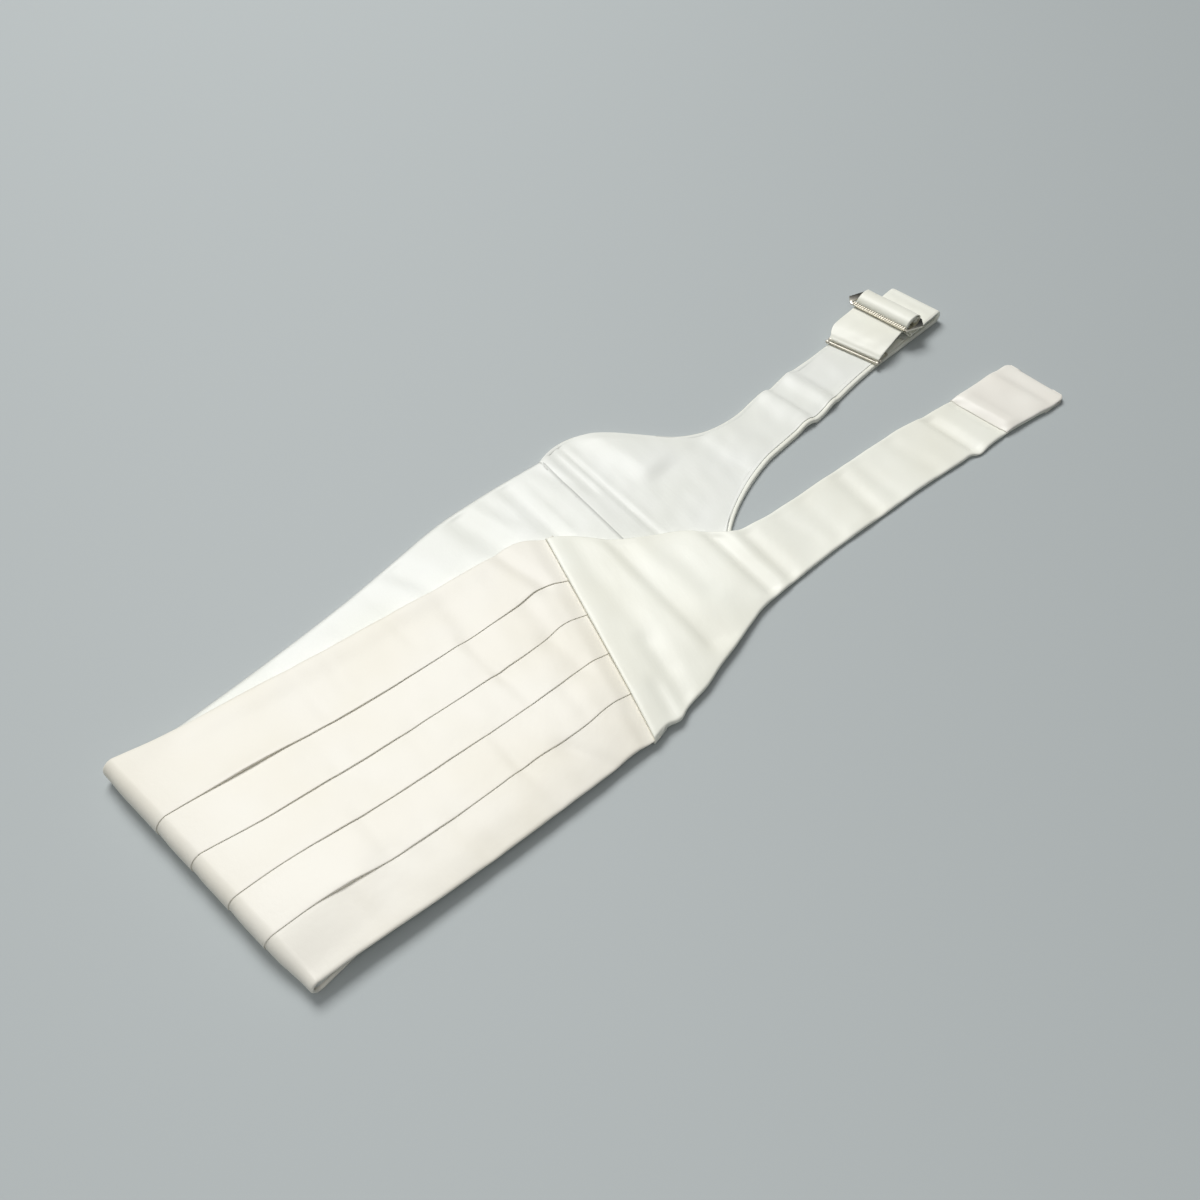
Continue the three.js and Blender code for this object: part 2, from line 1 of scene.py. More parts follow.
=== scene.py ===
# %% [markdown]
# # A pleated satin cummerbund, folded in half and laid flat
#
# A cummerbund is a wide waist sash. Its front is one satin cloth folded into overlapping pleats
# and backed with a lining. A wing is sewn to each end of the front and narrows to a strap. One
# strap ends in a stitched tab; the other runs through a metal slide and holds a wire hook.
#
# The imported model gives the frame: which pieces there are, how large, and where. This script
# gives them their looks. Every cloth is a thin shell that is laid on the form of its solid, and
# the metal is modelled from primitives.

import math

import bmesh
import bpy
import numpy as np
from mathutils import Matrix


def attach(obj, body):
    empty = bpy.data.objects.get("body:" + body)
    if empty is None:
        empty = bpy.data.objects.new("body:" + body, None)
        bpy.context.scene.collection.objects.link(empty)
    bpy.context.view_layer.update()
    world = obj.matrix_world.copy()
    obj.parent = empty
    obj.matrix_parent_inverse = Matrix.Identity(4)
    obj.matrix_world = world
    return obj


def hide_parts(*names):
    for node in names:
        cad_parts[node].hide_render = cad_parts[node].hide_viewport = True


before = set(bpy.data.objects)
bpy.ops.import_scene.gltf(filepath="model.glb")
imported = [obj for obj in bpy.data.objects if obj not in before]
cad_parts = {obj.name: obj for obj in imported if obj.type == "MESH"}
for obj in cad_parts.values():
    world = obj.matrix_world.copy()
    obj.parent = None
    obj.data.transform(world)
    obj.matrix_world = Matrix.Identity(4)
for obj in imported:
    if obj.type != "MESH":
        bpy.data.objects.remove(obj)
bpy.ops.object.select_all(action="DESELECT")
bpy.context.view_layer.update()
print("frame pieces:", ", ".join(sorted(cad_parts)))

# %% [markdown]
# ## Camera, table and light
#
# The garment is seen from above one long side. It could be lit by one lamp, but satin shows its
# folds best in broad soft light that comes mostly from one side, so there is a large lamp high up
# behind it, a much weaker one in front, and a room that is bright overhead and dark near the
# floor. The dark part is what makes flat polished metal look darker than cloth.

# %% Camera
bpy.ops.object.camera_add(
    location=(-0.27099, -0.25347, 0.40775), rotation=(math.radians(40), 0, math.radians(-44))
)
camera = bpy.context.object
camera.name = "camera"
camera.data.sensor_width = 36
camera.data.lens = 36
camera.data.clip_start = 0.01
bpy.context.scene.camera = camera
bpy.context.scene.view_settings.view_transform = "Standard"
print("camera looks down by", 90 - 40, "degrees")


# %% Colour and node helpers
def colour(code):
    """An sRGB hex colour as the linear colour that a shader wants."""
    parts = [int(code[i : i + 2], 16) / 255 for i in (1, 3, 5)]
    return [c / 12.92 if c <= 0.04045 else ((c + 0.055) / 1.055) ** 2.4 for c in parts] + [1]


def node(tree, kind, settings=(), **sockets):
    """Adds a node; settings are its own properties, sockets its inputs by name, as a value or an output."""
    made = tree.nodes.new(kind)
    for key, value in dict(settings).items():
        setattr(made, key, value)
    for name, value in sockets.items():
        socket = made.inputs[name.replace("_", " ")]
        if isinstance(value, bpy.types.NodeSocket):
            tree.links.new(value, socket)
        else:
            socket.default_value = value
    return made


def new_material(name):
    """A material with its Principled shader ready, as (material, tree, shader)."""
    made = bpy.data.materials.new(name)
    made.use_nodes = True
    return made, made.node_tree, made.node_tree.nodes["Principled BSDF"]


print("white card:", [round(c, 3) for c in colour("#F2F2F2")])

# %% Table
table_paint, tree, shader = new_material("grey_laminate_table")
shader.inputs["Base Color"].default_value = colour("#B6BCBC")
shader.inputs["Roughness"].default_value = 0.6
shader.inputs["Specular IOR Level"].default_value = 0.3
bpy.ops.mesh.primitive_plane_add(size=6, location=(0, 0, -0.0002))
table = bpy.context.object
table.name = "table"
table.data.materials.append(table_paint)
print("table is", table.dimensions.x, "m across")


# %% Lamps and room light
def lamp(name, place, aim, size, power):
    """A square area lamp that looks at a point."""
    bpy.ops.object.light_add(type="AREA", location=place)
    made = bpy.context.object
    made.name = name
    made.data.size = size
    made.data.energy = power
    direction = np.array(aim) - np.array(place)
    across = math.hypot(direction[0], direction[1])
    made.rotation_euler = (math.atan2(across, -direction[2]), 0, math.atan2(-direction[0], direction[1]))
    return made


key_lamp = lamp("key_lamp", (0.42, 1.2, 1.95), (0.0, 0.0, 0.0), 1.15, 41.0)
fill_lamp = lamp("fill_lamp", (-0.5, -0.42, 0.75), (-0.25, -0.18, 0.0), 0.35, 1.6)
room = bpy.data.worlds.new("room")
bpy.context.scene.world = room
room.use_nodes = True
tree = room.node_tree
direction = node(tree, "ShaderNodeTexCoord").outputs["Generated"]
facing = node(tree, "ShaderNodeVectorMath", {"operation": "DOT_PRODUCT"}, Vector=direction)
facing.inputs[1].default_value = (-0.12, 0.32, 0.94)
walls = node(tree, "ShaderNodeValToRGB", Fac=facing.outputs["Value"])
walls.color_ramp.elements[0].position = 0.4
walls.color_ramp.elements[0].color = colour("#44484C")
walls.color_ramp.elements[1].position = 0.92
walls.color_ramp.elements[1].color = colour("#F4F6F8")
tree.links.new(walls.outputs["Color"], tree.nodes["Background"].inputs["Color"])
tree.nodes["Background"].inputs["Strength"].default_value = 0.42
print("lamps:", key_lamp.data.energy, "W and", fill_lamp.data.energy, "W")

# %% [markdown]
# ## How places on the garment are named
#
# The garment lies folded, so a plain x and y is a poor way to say where a crease is. Each half is
# measured like a tape instead: s is the distance from the fold along the half, v the place across
# it, and n how far a cloth stands out from the inner face of the lining. Each half slants 4.5 degrees
# to its own side, so their straps point 9 degrees apart. All of these are in millimetres, and become
# metres only when a cloth is laid.

# %% Garment coordinates
TURN = math.radians(4.5)
ORIGIN = (229.0, 5.8)
TOP, BOTTOM = 1, -1


def spot(half, s, v):
    """Plan position of s and v on the top or the bottom half."""
    return s * math.cos(TURN) - ORIGIN[0], v - half * s * math.sin(TURN) - ORIGIN[1]


def smooth(x):
    """0 below 0, 1 above 1, and an easy curve between."""
    x = np.clip(x, 0, 1)
    return x * x * (3 - 2 * x)


def mix(a, b, share):
    return a + (b - a) * share


def through(keys, values, at):
    """A smooth curve through measured points, read at some places."""
    keys, values, at = np.asarray(keys, float), np.asarray(values, float), np.asarray(at, float)
    slopes = np.gradient(values, keys)
    i = np.clip(np.searchsorted(keys, at) - 1, 0, len(keys) - 2)
    width = keys[i + 1] - keys[i]
    u = np.clip((at - keys[i]) / width, 0, 1)
    start = values[i] * (1 + 2 * u) + slopes[i] * width * u
    end = values[i + 1] * (3 - 2 * u) - slopes[i + 1] * width * (1 - u)
    return start * (1 - u) ** 2 + end * u**2


print("the strap end lies at", [round(float(c)) for c in spot(TOP, 464, -16)], "mm")

# %% [markdown]
# ## The outlines
#
# A tailor's pattern gives the edges of each piece. Here they are short tables: lines of the front
# at some shares of the way from the fold to its side seam, and sections across the wings.

# %% Outlines of the front, its seams and the wings
TOP_FRONT = {
    "t": [0.0, 0.1, 0.3, 0.5, 0.7, 0.85, 0.94, 1.0],
    "far": [66.4, 63.4, 62.8, 61.6, 60.4, 60.0, 59.6, 53.6],
    "p1": [28.6, 28.3, 28.2, 27.4, 28.0, 29.0, 30.8, 27.4],
    "p2": [6.0, 4.6, 4.7, 5.0, 5.4, 6.3, 8.6, 7.0],
    "p3": [-17.3, -16.4, -16.8, -16.4, -16.3, -15.4, -14.4, -15.2],
    "p4": [-38.8, -38.0, -39.2, -38.8, -37.7, -37.9, -36.3, -36.8],
    "near": [-62.3, -62.0, -62.3, -62.0, -61.2, -60.4, -59.4, -59.8],
}
BOTTOM_FRONT = {
    "t": [0.0, 0.3, 0.5, 0.63, 0.72, 0.85, 1.0],
    "far": [66.6, 64.8, 65.4, 67.4, 68.8, 67.0, 62.5],
    "p1": [28.0, 27.8, 28.2, 28.8, 29.4, 29.0, 27.6],
    "p2": [6.0, 5.8, 6.0, 6.4, 6.8, 6.6, 6.0],
    "p3": [-16.0, -16.2, -16.2, -16.0, -15.6, -15.6, -15.8],
    "p4": [-37.5, -38.0, -38.0, -37.6, -37.2, -37.0, -36.8],
    "near": [-62.5, -61.5, -61.0, -60.6, -60.4, -60.2, -60.0],
}
# Sections across a wing and strap: s and v of the far end, then s and v of the near end.
TAB_WING = np.array([
    (199.8, 53.6, 158.5, -59.8), (205, 51.0, 168, -57.6), (210, 47.5, 174.5, -58.4), (214, 43.5, 180, -56.0),
    (221, 36.0, 194, -53.0), (230, 29.5, 206, -48.8), (240, 24.5, 219, -45.0), (249, 19.8, 232, -40.6),
    (257, 13.0, 243, -37.2), (266, 5.0, 256, -35.5), (280, 2.2, 272, -34.0), (297, 2.0, 292, -32.6),
    (330, 2.9, 328, -31.8), (360, 3.4, 359, -31.2), (385, 3.4, 386, -31.9), (391.5, 2.7, 392, -32.0),
    (397, 2.3, 396, -33.9), (404, 1.8, 404, -33.2), (418, 1.2, 418, -32.8), (441, 1.3, 440, -34.0),
    (457, 1.0, 455, -34.8), (461, 0.0, 459, -33.8), (463, -3.0, 461, -31.0),
])
ADJUSTER_WING = np.array([
    (233.9, 62.5, 219.2, -60.0), (246, 65.0, 231, -57.0), (258, 63.0, 242, -53.0), (267, 58.4, 252, -47.5),
    (275, 51.0, 261, -41.0), (282, 42.5, 270, -35.0), (289, 33.5, 281, -29.8), (296, 25.0, 293, -25.8),
    (305, 18.3, 305, -22.9), (316, 13.8, 317, -21.0), (330, 11.8, 331, -20.7), (344, 12.2, 343, -20.7),
    (351, 12.0, 350.5, -20.6), (356.5, 11.0, 356.5, -21.8), (364, 11.2, 364, -21.8), (372, 11.2, 371, -21.4),
    (394, 9.8, 394, -20.2), (410, 9.2, 410, -20.2), (435, 8.5, 435, -21.6),
    (466.0, 7.4, 467.2, -23.6),
])


def front_edge(half, name, t):
    table = TOP_FRONT if half == TOP else BOTTOM_FRONT
    return through(table["t"], table[name], t)


def side_seam(half, v):
    """s of the side seam, which slants, at v."""
    return 180.5 + 0.364 * v if half == TOP else 226.4 + 0.12 * v


print("the top front is about", round(float(side_seam(TOP, 0))), "mm from fold to seam")

# %% [markdown]
# ## How high each layer lies
#
# Cloth lies on cloth. The bottom half is pressed flat on the table. The top half rests on it, stands
# open at the fold where the layers turn, and sinks to the table past the bottom half's near edge.
# A full cloth simulation could find these heights, but the garment is stiff, pressed and nearly
# flat, so they are worked out directly, and stay the same each time.

# %% Heights
FRONT_THICK = 3.6
WING_THICK = 2.3
FOLD_INSIDE = 2.4
OPEN_REACH = 85
REST_GAP = 0.4


def fold_inside(v):
    """Inner radius of the fold: open, but pinched together at the near end and a little at the far end."""
    return FOLD_INSIDE * (1 - 0.62 * smooth((-v - 38) / 22) - 0.2 * smooth((v - 50) / 14))


def bottom_wing_thick(s, v):
    """The bottom wing is thick at its seam and thins out over 25 mm."""
    return mix(FRONT_THICK, WING_THICK, smooth((s - side_seam(BOTTOM, v)) / 25))


def bottom_near_edge(s):
    corner = ADJUSTER_WING[0, 2]
    front = front_edge(BOTTOM, "near", np.clip(s / corner, 0, 1))
    return np.where(s < corner, front, through(ADJUSTER_WING[:, 2], ADJUSTER_WING[:, 3], s))


def top_floor(x, y):
    """Height that the top half's lining lies at, at a plan position."""
    s = (x + ORIGIN[0]) / math.cos(TURN)
    v = y + ORIGIN[1] - s * math.sin(TURN)
    bed = np.where(s < side_seam(BOTTOM, v), FRONT_THICK, bottom_wing_thick(s, v))
    opened = (2 * fold_inside(v) - REST_GAP) * (1 - smooth(s / OPEN_REACH))
    past = bottom_near_edge(s) + 2 - v
    return (bed + REST_GAP + opened) * (1 - smooth((past + 8) / 62))


print("the top half lies", round(float(top_floor(-120, 0)), 1), "mm up near the fold")

# %% [markdown]
# ## Creases
#
# Pressed satin keeps long soft creases where it was held and folded. A noise texture would look like
# crumpled paper, so each crease is placed one by one. A crease is a ridge along a line: it rises on the
# fold's side over one width, and falls over another. With a negative height it is a valley between
# two low banks. A little slow ripple goes over everything, because no cloth lies perfectly even.

# %% Crease and ripple helpers
def crease(s, v, start, end, rise, fall, height, fade=10):
    """Height of one crease at each place; start is its far end, end its near end."""
    start, end = np.array(start, float), np.array(end, float)
    along = end - start
    length = np.hypot(*along)
    along /= length
    t = (s - start[0]) * along[0] + (v - start[1]) * along[1]
    d = (v - start[1]) * along[0] - (s - start[0]) * along[1]
    ends = smooth(1 + np.minimum(t, length - t) / fade)
    across = d / np.where(d < 0, rise, fall)
    banks = 0.22 * abs(height) * np.exp(-((across / 2.4) ** 2)) if height < 0 else 0
    return ends * (height * np.exp(-(across**2)) + banks)


def ripple(s, v, size, seed, stretch=1.0):
    """Slow, smooth unevenness, mostly between -1 and 1; stretch makes it longer across than along."""
    chance = np.random.default_rng(seed)
    total = np.zeros(np.broadcast(s, v).shape)
    for _ in range(9):
        heading, phase = chance.uniform(0, 2 * math.pi, 2)
        wave = 2 * math.pi / (size * chance.uniform(0.7, 1.5))
        total += np.sin(wave * (s * math.cos(heading) + v * math.sin(heading) / stretch) + phase)
    return total / 5


# Each crease: far end (s, v), near end (s, v), width on the fold's side, width on the other, height.
TOP_CREASES = [
    ((221, 37), (211.5, -36), 3.3, 12, -1.6),  # from the far edge across the widest part of the wing
    ((258.4, 16), (253.4, -31), 3.3, 5.6, -2.2),  # the deep pair where the wing becomes the strap
    ((270.5, 3), (266, -33), 3.2, 5.5, -1.7),
    ((236, 24), (234, -14), 6, 7, -0.9),
    ((206, 42), (190, -34), 4.5, 5, -0.35),
    ((190, -22), (181, -58), 4.0, 5, -1.0),  # short ones that run to the near edge
    ((177, -42), (171, -60), 3, 3, -0.9),
    ((289, 3), (292, -20), 5, 5, -0.8),
    ((307, 3), (301, -32), 5, 5, -0.6),
    ((333, 3), (327, -30), 4.8, 5.5, -1.3),
    ((346, 3), (343, -28), 4, 5, -0.7),
    ((370, 3), (371, -30), 5.5, 6, -0.9),
    ((397.5, 2), (396.5, -34), 3.0, 4.8, -2.1),  # where the strap was gripped
    ((418, 3), (417, -36), 3.4, 2.8, -1.3),  # beside the tab's front edge
    ((455, 0), (454, -32), 3.5, 4, -0.55),
    ((177, 60), (180, 34), 4, 4, -0.8),
    ((72, 58), (71, 32), 4, 5, -0.35),
    ((88, 58), (86, 38), 5, 5, -0.4),
    ((119, 60), (119, 44), 4, 4, -0.4),
    ((143, 60), (141, 30), 6, 6, -0.5),
    ((135, 26), (134, 6), 3, 4, -0.4),
    ((60, 26), (59, 10), 4, 4, -0.25),
    ((167, 24), (165, 10), 6, 4, -0.5),
    ((90, 3), (88, -14), 5, 5, -0.35),
    ((135, 3), (134, -14), 3, 4, -0.35),
    ((162, 4), (161, -12), 6, 4, -0.7),
    ((52, -20), (51, -34), 4, 4, -0.35),
    ((112, -20), (111, -34), 3, 4, -0.35),
    ((148, -20), (147, -32), 4, 4, -0.35),
    ((28, -42), (28, -58), 6, 5, -0.5),
    ((78, -42), (77, -60), 5, 5, -0.5),
    ((112, -42), (111, -60), 4, 4, -0.4),
    ((130, -42), (138, -60), 4, 4, -0.5),
    ((158, -46), (155, -58), 3, 3, -0.5),
]
BOTTOM_CREASES = [
    ((243, 62), (240, 32), 2.6, 2.2, -1.1),
    ((248.5, 64), (242, -14), 1.6, 1.6, -0.9),  # beside the edge of the allowance inside
    ((268, 56), (270, 20), 9, 15, 1.7),
    ((303, 18), (300, -22), 7, 6, -0.6),
    ((138, 66), (145, 42), 4.5, 6, -1.1),
    ((180, 68), (184, 36), 6.5, 6, -1.7),
    ((196, 66), (199, 46), 3.5, 4, -0.6),
    ((211, 65), (208, 18), 4.5, 2.6, -1.2),
    ((229, 63), (234, 44), 6, 3, -0.7),
    ((219, 62), (218, 20), 3, 4, -0.4),
    ((103, 62), (104, 48), 4, 6, -0.4),
    ((74, 64), (74, 54), 4, 8, -0.5),
    ((122, 62), (124, 48), 4, 5, -0.4),
    ((329, 12), (328, -16), 5, 6, -0.5),
    ((354, 14), (354, -20), 9, 2.0, 1.8),  # a small fold that lies over, where the strap was gripped
    ((372.5, 13), (373, -20), 6.5, 4.0, 1.7),
    ((382, 5), (381, -16), 4, 5, -0.9),
    ((391, 12), (388, -20), 8, 6, -0.5),
]


def top_relief(s, v):
    made = 0.2 * ripple(s, v, 42, 3, stretch=1.6) + 0.09 * ripple(s, v, 13, 4)
    made = made + 0.8 * smooth((v - 48) / 12) * smooth((190 - s) / 60)  # the far edge curls up a little
    for one in TOP_CREASES:
        made = made + crease(s, v, *one)
    return made


def bottom_relief(s, v):
    made = 0.2 * ripple(s, v, 38, 7, stretch=1.6) + 0.1 * ripple(s, v, 12, 8)
    for one in BOTTOM_CREASES:
        made = made + crease(s, v, *one)
    return made


def covered(x, y):
    """1 where the top half lies over the bottom half, so that it is pressed flat there, else 0."""
    s = (x + ORIGIN[0]) / math.cos(TURN)
    top_v = y + ORIGIN[1] + s * math.sin(TURN)
    seam = side_seam(TOP, 53)
    edge = np.where(
        s < seam,
        front_edge(TOP, "far", np.clip(s / seam, 0, 1)),
        through(TAB_WING[:, 0], TAB_WING[:, 1], s),
    )
    return 1 - smooth((top_v - edge + 6) / 8)


print("creases placed by hand:", len(TOP_CREASES) + len(BOTTOM_CREASES))


# %% [markdown]
# ## Laying a cloth
#
# Each cloth starts as a flat grid, as cloth starts flat on the cutting table. It has a row and a
# column for every point of the form, and each of its vertices is then moved to its point. Its UV map
# is measured along the cloth in millimetres, so the weave follows it round every fold. Solidify gives
# it its thickness, and is applied.

# %% Cloth maker
CLOTH_THICK = 0.45


def modify(piece, kind, **settings):
    """Adds a modifier to the active piece, sets it, and applies it."""
    bpy.ops.object.modifier_add(type=kind)
    made = piece.modifiers[-1]
    for key, value in settings.items():
        setattr(made, key, value)
    bpy.ops.object.modifier_apply(modifier=made.name)


def lay_cloth(name, points, thick=CLOTH_THICK):
    """A cloth shell whose outer face goes through the points: rows x columns x 3, in mm."""
    rows, columns = points.shape[:2]
    bpy.ops.object.select_all(action="DESELECT")
    bpy.ops.mesh.primitive_grid_add(x_subdivisions=columns - 1, y_subdivisions=rows - 1, size=1)
    cloth = bpy.context.object
    cloth.name = cloth.data.name = name
    mesh = cloth.data
    flat = np.empty(len(mesh.vertices) * 3)
    mesh.vertices.foreach_get("co", flat)
    flat = flat.reshape(-1, 3)
    column = np.rint((flat[:, 0] + 0.5) * (columns - 1)).astype(int)
    row = np.rint((flat[:, 1] + 0.5) * (rows - 1)).astype(int)
    mesh.vertices.foreach_set("co", (points[row, column] / 1000).astype(np.float32).ravel())
    steps_along = np.linalg.norm(np.diff(points, axis=0), axis=2)
    steps_across = np.linalg.norm(np.diff(points, axis=1), axis=2)
    along = np.concatenate([[0], np.cumsum(np.median(steps_along, axis=1))])
    across = np.concatenate([[0], np.cumsum(np.median(steps_across, axis=0))])
    corner = np.empty(len(mesh.loops), int)
    mesh.loops.foreach_get("vertex_index", corner)
    weave = np.column_stack([along[row[corner]], across[column[corner]]])
    mesh.uv_layers.active.data.foreach_set("uv", weave.astype(np.float32).ravel())
    mesh.update()
    modify(cloth, "SOLIDIFY", thickness=thick / 1000, offset=-1)
    form = bmesh.new()
    form.from_mesh(cloth.data)
    volume = form.calc_volume(signed=True)
    form.free()
    bpy.ops.object.shade_smooth()
    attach(cloth, "root")
    print(f"{name}: {rows} x {columns} points, {along[-1]:.0f} x {across[-1]:.0f} mm, {volume * 1e6:.1f} cm3")
    return cloth


print("a cloth is", CLOTH_THICK, "mm thick unless it says otherwise")

# %% [markdown]
# ## Satin
#
# Duchess satin is a heavy, closely woven silk or polyester. Its long floats lie side by side, which
# gives a soft sheen rather than a mirror gloss: medium roughness, a little sheen at the edges. The
# real floats are about 0.1 mm apart. They are drawn 1 mm apart so that they can be seen at all, and
# kept very shallow. Slow colour change stands for the uneven press and age of the cloth.


# %% Satin materials
def satin(name, shade, deep, roughness, sheen):
    """Woven satin: shade is its colour, deep the warmer tone that it has here and there."""
    made, tree, shader = new_material(name)
    cloth_map = node(tree, "ShaderNodeTexCoord").outputs["UV"]
    place = node(tree, "ShaderNodeTexCoord").outputs["Object"]
    cloudy = node(tree, "ShaderNodeTexNoise", Vector=place, Scale=22.0, Detail=2.0, Roughness=0.5)
    tone = node(tree, "ShaderNodeValToRGB", Fac=cloudy.outputs["Fac"])
    tone.color_ramp.elements[0].position = 0.35
    tone.color_ramp.elements[0].color = colour(deep)
    tone.color_ramp.elements[1].position = 0.62
    tone.color_ramp.elements[1].color = colour(shade)
    floats = node(
        tree, "ShaderNodeTexWave", {"bands_direction": "Y"}, Vector=cloth_map, Scale=0.314, Distortion=1.2,
        Detail=2.0, Detail_Scale=0.6
    )
    slub = node(tree, "ShaderNodeTexNoise", Vector=cloth_map, Scale=0.35, Detail=3.0, Roughness=0.55)
    weave = node(tree, "ShaderNodeBump", Height=floats.outputs["Fac"], Strength=0.06, Distance=0.00006)
    uneven = node(
        tree, "ShaderNodeBump", Height=slub.outputs["Fac"], Normal=weave.outputs["Normal"], Strength=0.25,
        Distance=0.00025
    )
    tree.links.new(tone.outputs["Color"], shader.inputs["Base Color"])
    tree.links.new(uneven.outputs["Normal"], shader.inputs["Normal"])
    shader.inputs["Roughness"].default_value = roughness
    shader.inputs["Sheen Weight"].default_value = sheen
    shader.inputs["Sheen Roughness"].default_value = 0.4
    return made


pleat_satin = satin("ivory_duchess_satin", "#F4F0E4", "#F1ECDD", 0.45, 0.1)
# The wing satin is painted lighter than the front's satin. Its off-white tone is the cloth's own, and the
# extra lightness is painted light that makes up for the dimmer light towards the strap end.
wing_satin = satin("off_white_satin_painted_lighter", "#F8F8EC", "#F4F3E5", 0.41, 0.1)
lining_satin = satin("cool_white_lining_satin", "#F0F1EA", "#EBECE3", 0.42, 0.1)
# The tab satin is painted lighter in the same way. Its warm white is its own, and the extra lightness is
# painted light for the dimmer light at the strap end.
tab_satin = satin("warm_white_tab_satin_painted_lighter", "#F8F5EB", "#F5F0E5", 0.36, 0.1)
print("satins:", pleat_satin.name, wing_satin.name, lining_satin.name, tab_satin.name)


def finish_cloth(cloth, material, slot, *nodes):
    """Gives a cloth its satin and hides the pieces of the frame that it stands for."""
    cloth.data.materials.append(material)
    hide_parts(*nodes)


# %% [markdown]
# ## The pleated front
#
# The front is one cloth, folded to and fro into five pleats. The farthest shows about 35 mm. The
# others show about 22 mm, and each has 6 mm tucked under the one above it. It could be five
# separate strips, but then no fold edge would be round. So the section goes along the whole cloth:
# round the near edge, up over each pleat, back under its folded edge, and round the far edge. The
# sections are set side by side from the top seam, round the fold, to the bottom seam.

# %% Rows of the front
ROLL_ANGLES = np.linspace(84, -84, 17)
top_t = np.concatenate([[1.02, 1.01], np.linspace(1.0, 0.0, 150)])
bottom_t = np.concatenate([np.linspace(0.0, 1.0, 70), [1.008]])
front_rows = {
    "t": np.concatenate([top_t, 0 * ROLL_ANGLES, bottom_t]),
    "angle": np.concatenate([0 * top_t + 90, ROLL_ANGLES, 0 * bottom_t - 90]),
}
front_rows["share"] = 0.5 + front_rows["angle"] / 180  # 1 on the top half, 0 on the bottom half


def front_line(name):
    t = np.clip(front_rows["t"], 0, 1)
    return mix(front_edge(BOTTOM, name, t), front_edge(TOP, name, t), front_rows["share"])


def front_points(v, n):
    """Turns v and n, with a row for each station, to points in mm."""
    t, angle, share = (front_rows[k][:, None] for k in ("t", "angle", "share"))
    axis = -0.05 * v  # the fold itself slants a little
    turn = TURN * (2 * share - 1)
    half_s = np.where(share > 0.5, side_seam(TOP, v), side_seam(BOTTOM, v)) - 0.15
    s = mix(axis, half_s, t)
    x = s * np.cos(turn) - ORIGIN[0]
    y = v - s * np.sin(turn) - ORIGIN[1]
    z = np.where(share > 0.5, top_floor(x, y) + n, FRONT_THICK - n)
    rolled = np.abs(angle) < 89
    inside = fold_inside(v)
    reach, a = inside + n, np.radians(angle)
    x = np.where(rolled, axis - reach * np.cos(a) - ORIGIN[0], x)
    y = np.where(rolled, v - axis * np.sin(turn) - ORIGIN[1], y)
    z = np.where(rolled, inside + FRONT_THICK + reach * np.sin(a), z)
    return np.stack([x, y, z], axis=2), s


print("stations along the front:", len(front_rows["t"]))

# %% The pleated section
TUCK = 6.0
SEAM_S = 180  # about where the top half's pleats end
LOW, HIGH, GAP = 2.9, 3.24, 0.1
EDGE_BEND = (-75, -45, -15, 15, 45, 75)  # degrees round a turned edge
# Stretches where a folded edge stands off the pleat below it: middle s, half length, and how far.
PLEAT_OPENINGS = {
    "p1": [(32, 15, 0.9), (75, 30, 0.35), (160, 12, 0.4)],
    "p2": [(45, 26, 0.25), (75, 18, 0.2), (135, 14, 0.2)],
    "p3": [(45, 14, 0.25), (85, 24, 0.2), (150, 14, 0.15)],
    "p4": [(33, 11, 0.9), (70, 18, 0.3), (140, 30, 0.15)],
}


def pleat_lift(name, s):
    """How far a folded edge stands up along its length."""
    total = 0.03 + 0 * s
    for centre, reach, height in PLEAT_OPENINGS[name]:
        total = total + height * np.exp(-(((s - centre) / reach) ** 2))
    return total


def pleated_section():
    """v and n of the pleated cloth from its near edge to its far edge, one column after another."""
    lines = {name: front_line(name) for name in ("far", "p1", "p2", "p3", "p4", "near")}
    share, t = front_rows["share"], front_rows["t"]
    middle_s = t * SEAM_S
    dive = share * smooth((t - 0.95) / 0.05)  # the pleats flatten under the wing at the seam
    high, low = HIGH - 0.9 * dive, LOW - 0.9 * dive
    rise = mix(6.0, 14.0, share)
    columns = []  # v, n, and how much of the creases the column takes

    def column(v, n, takes):
        columns.append((v + 0 * t, n + 0 * t, takes + 0 * t))

    def turned_edge(edge, side, order):
        steps = [(11.0, 1.25, 0), (5.0, 1.3, 0), (1.6, 1.65, 0)]
        for a in EDGE_BEND:
            a = math.radians(a)
            steps.append((1.1 * (1 - math.cos(a)), None, (1 + math.sin(a)) / 2))
        for inward, n, takes in steps[::order]:
            column(edge - side * inward, mix(1.7, high, takes) if n is None else n, 0.4 + 0.6 * takes)

    turned_edge(lines["near"], -1, 1)
    names = ["near", "p4", "p3", "p2", "p1", "far"]
    for lower, upper in zip(names[:-1], names[1:]):
        start = lines[lower] + (1.6 if lower == "near" else 0.5)
        last = upper == "far"
        end = lines[upper] - 1.6 if last else lines[upper]
        lifted = 0 if lower == "near" else pleat_lift(lower, middle_s) * share
        for f in np.linspace(0, 1, 15):
            v = mix(start, end, f)
            climb = 0 if last else smooth((v - (end - rise)) / rise)
            edge_lift = lifted * np.exp(-((v - start) / 5.0))
            column(v, mix(high, low, climb) + edge_lift, 1.0)
        if last:
            continue
        for inward in (3.0, TUCK):
            column(end + inward, low, 1.0)
        for a in (-45, 0, 45):
            a = math.radians(a)
            column(end + TUCK + 0.1 * math.cos(a), low + GAP / 2 * (1 + math.sin(a)), 1.0)
        for inward in (TUCK, 3.0, 0.9):
            column(end + inward, low + GAP, 1.0)
        top_lift = pleat_lift(upper, middle_s) * share
        for a in (-70, -35, 0, 35, 70):
            a = math.radians(a)
            half = (1 + math.sin(a)) / 2
            column(end + 0.35 * (1 - math.cos(a)), mix(low + GAP, high + top_lift, half), 1.0)
    turned_edge(lines["far"], 1, -1)
    return [np.column_stack(part) for part in zip(*columns)]


